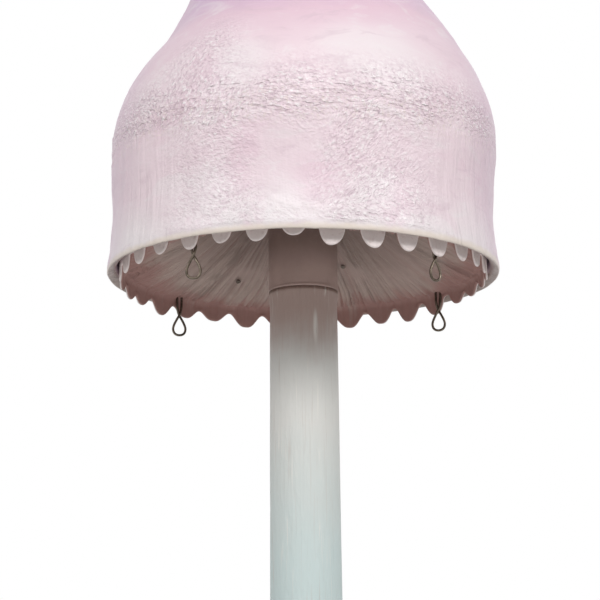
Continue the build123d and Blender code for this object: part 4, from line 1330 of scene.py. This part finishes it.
@dataclass
class WireEyes:
    """The four hanging eyes of bent wire, each with crossed legs above a drop-shaped loop."""

    rim: float = 1.0
    wire: float = 1.65
    circle: float = 231.0
    bottom: float = 48.5
    crossing: float = 0.85
    crossed_at: tuple[float, float] = (28.5, 5.0)
    eyes: tuple[tuple[str, float, float], ...] = (
        ("eye_front_left", 234.8, 262.0),
        ("eye_front_right", 314.3, 312.7),
        ("eye_rear_right", 36.9, 75.0),
        ("eye_rear_left", 137.7, 105.0),
    )
    half_shape: Pairs = (
        (3.2, 56), (3.2, 41), (2.4, 35), (0.4, 29), (-2.2, 24.6), (-5.3, 19), (-8, 13.2),
        (-8.9, 8.6), (-7.8, 3.8), (-4.4, 0.8), (0, 0),
    )

    def build(self, material: Material) -> None:
        """Builds the four eyes.

        Args:
            material: finish of the wire.
        """
        for name, place, facing in self.eyes:
            self.bend(name, math.radians(place), math.radians(facing), material)

    def bend(self, name: str, place: float, facing: float, material: Material) -> None:
        """Bends one eye.

        Args:
            name: the solid that it replaces.
            place: angle round the cap from +X, in radians.
            facing: the way its loop faces, from +X, in radians.
            material: its finish.
        """
        across = Vector((-math.sin(facing), math.cos(facing), 0.0))
        ahead = Vector((math.cos(facing), math.sin(facing), 0.0))
        foot = Vector((math.cos(place), math.sin(place), 0.0)) * self.circle * MM
        foot.z = self.rim + (self.wire - self.bottom) * MM
        left = [
            (side, height, self.crossing * bell(height, *self.crossed_at))
            for side, height in self.half_shape
        ]
        right = [(-side, height, -depth) for side, height, depth in reversed(left[:-1])]
        curve = bpy.data.curves.new(f"{name}_line", "CURVE")
        curve.dimensions = "3D"
        curve.bevel_depth = self.wire * MM
        curve.bevel_resolution = 5
        curve.use_fill_caps = True
        line = curve.splines.new("NURBS")
        path = [*left, *right]
        line.points.add(len(path) - 1)
        for point, (side, height, depth) in zip(line.points, path):
            spot = foot + across * side * MM + ahead * depth * 1.9 * MM
            point.co = (*(spot + Vector((0.0, 0.0, height * MM))), 1.0)
        line.order_u = 4
        line.use_endpoint_u = True
        line.resolution_u = 10
        bent = bpy.data.objects.new(f"{name}_bent", curve)
        bpy.context.scene.collection.objects.link(bent)
        bpy.context.view_layer.update()
        worked = bent.evaluated_get(bpy.context.evaluated_depsgraph_get())
        data = bpy.data.meshes.new_from_object(worked)
        bpy.data.objects.remove(bent)
        mesh = bmesh.new()
        mesh.from_mesh(data)
        bmesh.ops.remove_doubles(mesh, verts=mesh.verts, dist=0.01 * MM)
        bmesh.ops.recalc_face_normals(mesh, faces=mesh.faces)
        settle(finished(mesh, f"{name}_wire", material), Body.CAP, Slot.WIRE, name)


@dataclass
class GillScrews:
    """The four small screws that hold the gills to the ring behind them."""

    rim: float = 1.0
    spots: Pairs = ((149, 68.3), (179, 120), (168, 242), (168, 298))
    head: float = 3.4
    head_height: float = 1.4
    proud: float = 1.6
    shank: float = 2.0
    length: float = 32.0
    slot_bar: Triple = (3.6, 0.7, 0.3)

    def build(self, material: Material) -> None:
        """Builds the screws in one piece, each a domed head with a cross slot on a shank."""
        mesh = bmesh.new()
        for radius, degrees in self.spots:
            angle = math.radians(degrees)
            slope = (gill_height((radius + 2) * MM) - gill_height((radius - 2) * MM)) / (4 * MM)
            seat = Vector((radius * math.cos(angle) * MM, radius * math.sin(angle) * MM, 0.0))
            seat.z = self.rim + gill_height(radius * MM) - self.proud * MM
            hinge = Vector((-math.sin(angle), math.cos(angle), 0.0))
            tilt = Matrix.Rotation(-math.atan(slope), 4, hinge)
            self.screw(mesh, Matrix.Translation(seat) @ tilt)
        bmesh.ops.recalc_face_normals(mesh, faces=mesh.faces)
        settle(finished(mesh, "gill_screw_heads", material), Body.CAP, Slot.ZINC, "gill_screws")

    def screw(self, mesh: Mesh, seat: Matrix) -> None:
        """Adds one screw, its head down.

        Args:
            mesh: the mesh being built.
            seat: where the head's face lies.
        """
        up = Matrix.Translation(Vector((0.0, 0.0, (self.length / 2 + 0.5) * MM)))
        rods = ((self.head, self.head_height, 20, seat), (self.shank, self.length, 16, seat @ up))
        head, _ = (
            bmesh.ops.create_cone(
                mesh,
                cap_ends=True,
                segments=segments,
                radius1=radius * MM,
                radius2=radius * MM,
                depth=depth * MM,
                matrix=matrix,
            )["verts"]
            for radius, depth, segments, matrix in rods
        )
        rims = {edge for vert in head for edge in vert.link_edges}
        level = seat.inverted()
        low = [edge for edge in rims if all((level @ vert.co).z < 0 for vert in edge.verts)]
        bmesh.ops.bevel(
            mesh, geom=low, offset=0.6 * MM, affect="EDGES", segments=3, profile=0.5, material=-1
        )
        face = seat @ Matrix.Translation(Vector((0.0, 0.0, -0.75 * MM)))
        size = Matrix.Diagonal(Vector((*(side * MM for side in self.slot_bar), 1.0)))
        for turn in (0.0, math.pi / 2):
            bar = face @ Matrix.Rotation(turn, 4, "Z")
            bmesh.ops.create_cube(mesh, size=1.0, matrix=bar @ size)


# ---- stem and foot ----
@dataclass
class Stem:
    """The hand-brushed stem, a straight tapered tube."""

    top: float = 977.0
    foot: float = 28.0
    top_radius: float = 44.0
    foot_radius: float = 48.4
    bore: float = 40.1
    flare: float = 0.7
    outside: float = 0.9
    grid: tuple[int, int] = (240, 180)

    def place(self, across: float, along: float) -> Vector:
        """A point of the stem, down its outside and up its bore.

        Args:
            across: share of a turn.
            along: share of the way.

        Returns:
            The point.
        """
        angle = turn_angle(across)
        if along <= self.outside:
            share = along / self.outside
            height = self.top + (self.foot - self.top) * share
            radius = self.top_radius + (self.foot_radius - self.top_radius) * share
            strokes = 0.22 * round_noise(angle, height / 110.0, 9.0, 3.0)
            ridges = 0.12 * round_noise(angle, height / 45.0, 22.0, 8.0)
            lumps = 0.25 * round_noise(angle, height / 60.0, 1.5, 15.0)
            radius += strokes + ridges + lumps - 0.35
            radius += (self.top_edge(angle) - radius) * smooth(height, 958.0, 975.0)
        else:
            share = (along - self.outside) / (1.0 - self.outside)
            height = self.foot + (self.top - self.foot) * share
            radius = self.top_edge(angle) if share > 0.999 else self.bore
        return polar(radius * MM, angle, height * MM)

    def top_edge(self, angle: float) -> float:
        """Radius of the stem's upper edge, flush with the collar at the sides, in millimetres."""
        return 45.0 - self.flare * bell(math.degrees(angle), 0.0, 50.0)

    def build(self, material: Material) -> None:
        """Builds the stem."""
        seat = (Body.ROOT, Slot.STEM, "stem_tube")
        sheet_piece(self.grid, self.place, "stem_skin", material, seat)


@dataclass
class Foot:
    """The foot: a low round plinth that sweeps up to hug the stem."""

    outside: float = 0.8
    grid: tuple[int, int] = (320, 150)
    outer_knots: Pairs = (
        (50.2, 262), (51.5, 245), (56.7, 220), (63, 200), (70.3, 180), (80.1, 160), (96, 140),
        (110.1, 130), (130.4, 120), (152.2, 110), (168.6, 100), (179.1, 90), (185.7, 80),
        (189.5, 70), (191.2, 62), (191.6, 50), (191.6, 30), (191.4, 12), (190.4, 8.6), (188.8, 8),
    )
    inner_knots: Pairs = (
        (188.8, 8), (187.2, 12), (187, 50), (184, 66), (174, 90), (150, 107), (106, 128),
        (78, 156), (60, 197), (49.6, 240), (48, 262), (50.2, 262),
    )
    outer: Outline = field(init=False)
    inner: Outline = field(init=False)

    def __post_init__(self) -> None:
        """Lays out the two faces of the shell."""
        self.outer, self.inner = Outline(self.outer_knots), Outline(self.inner_knots)

    def place(self, across: float, along: float) -> Vector:
        """A point of the foot, down its outside and back up its inside."""
        angle = turn_angle(across)
        if along <= self.outside:
            radius, height, normal = self.outer.at(along / self.outside)
            ends = smooth(along, 0.0, 0.06) * (1.0 - smooth(along, 0.74, self.outside))
            lumps = 1.2 * round_noise(angle, height / 0.07, 3.0, 6.0)
            strokes = 0.25 * round_noise(angle, height / 0.03, 24.0, 16.0)
            depth = (lumps + strokes - 0.9) * MM * ends
            radius += normal.x * depth
            height += normal.y * depth
        else:
            radius, height, _ = self.inner.at((along - self.outside) / (1.0 - self.outside))
        return polar(radius, angle, height)

    def build(self, material: Material) -> None:
        """Builds the foot."""
        seat = (Body.ROOT, Slot.FOOT, "foot_shell")
        sheet_piece(self.grid, self.place, "foot_skin", material, seat)


# ---- studio ----
@dataclass
class SoftBox:
    """A rectangular soft lamp that looks at the cap."""

    name: str
    place: Triple
    size: tuple[float, float]
    power: float
    target: Triple = (0.0, 0.0, 1.05)

    def build(self) -> None:
        """Hangs the lamp."""
        light = bpy.data.lights.new(self.name, "AREA")
        light.shape = "RECTANGLE"
        light.size, light.size_y = self.size
        light.energy = self.power
        lamp = bpy.data.objects.new(self.name, light)
        way = Vector(self.target) - Vector(self.place)
        turn = way.to_track_quat("-Z", "Y").to_matrix().to_4x4()
        lamp.matrix_world = Matrix.Translation(Vector(self.place)) @ turn
        bpy.context.scene.collection.objects.link(lamp)


@dataclass
class Studio:
    """Camera, soft lamps, white surroundings, and a pale floor that can't be seen from below."""

    eye: Triple = (-0.0045, -2.600, 0.3916)
    pitch: float = 12.48
    roll: float = -0.53
    lens: float = 122.8
    ambient: float = 0.25
    floor_radius: float = 6.0
    floor_tone: Colour = shade("e9e8e6")
    floor_cloud: Colour = shade("dddcda")
    floor_lift: float = 0.3
    lamps: tuple[SoftBox, ...] = (
        SoftBox("left_box", (-2.05, -1.65, 2.40), (1.1, 0.85), 22.0),
        SoftBox("right_box", (2.15, -1.50, 2.40), (1.2, 0.85), 28.0),
        SoftBox("front_box", (0.1, -2.90, 2.90), (2.0, 0.8), 43.0),
    )

    def build(self) -> None:
        """Sets up the studio."""
        self.camera()
        for lamp in self.lamps:
            lamp.build()
        self.floor()
        self.surroundings()
        bpy.context.scene.view_settings.view_transform = "Standard"

    def camera(self) -> None:
        """Places the camera low in front of the lamp, looking up at the cap."""
        data = bpy.data.cameras.new("camera")
        data.lens = self.lens
        data.sensor_width = SENSOR_WIDTH
        camera = bpy.data.objects.new("camera", data)
        tilt = Matrix.Rotation(math.radians(90.0 + self.pitch), 4, "X")
        lean = Matrix.Rotation(math.radians(self.roll), 4, "Z")
        camera.matrix_world = Matrix.Translation(Vector(self.eye)) @ tilt @ lean
        bpy.context.scene.collection.objects.link(camera)
        bpy.context.scene.camera = camera

    def floor(self) -> None:
        """Lays the pale floor, lifted for the camera and its mirrored rays, clear from below."""
        mesh = bmesh.new()
        bmesh.ops.create_circle(mesh, cap_ends=True, segments=96, radius=self.floor_radius)
        paint = Paint("studio_floor")
        cloud = paint.noise(paint.where(), 3.0, 3.0, 0.6)
        finish = paint.surface(
            Base_Color=paint.mix(cloud.rise(0.3, 0.7) * 0.3, self.floor_tone, self.floor_cloud),
            Roughness=0.8,
            Emission_Color=paint.plain_rays() * self.floor_lift,
            Emission_Strength=1.0,
            Alpha=1.0 - paint.node("ShaderNodeNewGeometry", output="Backfacing"),
        )
        floor = finished(mesh, "floor", finish)

    def surroundings(self) -> None:
        """Makes the world white to the camera and in mirrors, and a soft grey light otherwise."""
        paint = Paint("studio", world=True)
        bpy.context.scene.world = paint.made
        light, white = (
            paint.node("ShaderNodeBackground", None, {"Color": WHITE, "Strength": strength})
            for strength in (self.ambient, 1.0)
        )
        blend = paint.node("ShaderNodeMixShader", None, {0: paint.plain_rays(), 1: light, 2: white})
        paint.close("ShaderNodeOutputWorld", blend)


# ---- assembly ----
def dress_fittings(frame: dict[str, Any], finishes: dict[str, Material]) -> None:
    """Gives each solid that still shows its procedural finish.

    Args:
        frame: the loaded frame.
        finishes: materials by slot name.
    """
    slots = {part["node"]: part["material_slot"] for part in frame["record"]["subparts"]}
    for name, node in frame["nodes"].items():
        finish = finishes.get(slots[name])
        if finish is None or node.hide_render:
            continue
        node.data.materials.clear()
        node.data.materials.append(finish)
        LOG.info("%s: dressed in %s", name, slots[name])


def main() -> None:
    """Builds the lamp and its studio."""
    logging.basicConfig(level=logging.INFO, format="%(name)s %(message)s")
    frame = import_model()
    finishes = fitting_finishes()
    finishes["cap_lacquer"] = CapLacquer().material()
    finishes["gill_paint"] = GillPaint().material()
    for name in ("stem_paint", "foot_paint"):
        finishes[name] = BrushedPaint().material(name)
    pieces = (
        (CapShell(), "cap_lacquer"),
        (Gills(), "gill_paint"),
        (Collar(), "gill_paint"),
        (WireEyes(), "eye_wire"),
        (GillScrews(), "screw_steel"),
        (Stem(), "stem_paint"),
        (Foot(), "foot_paint"),
    )
    for piece, finish in pieces:
        piece.build(finishes[finish])
    dress_fittings(frame, finishes)
    Studio().build()
    bpy.context.view_layer.update()


if __name__ == "__main__":
    main()
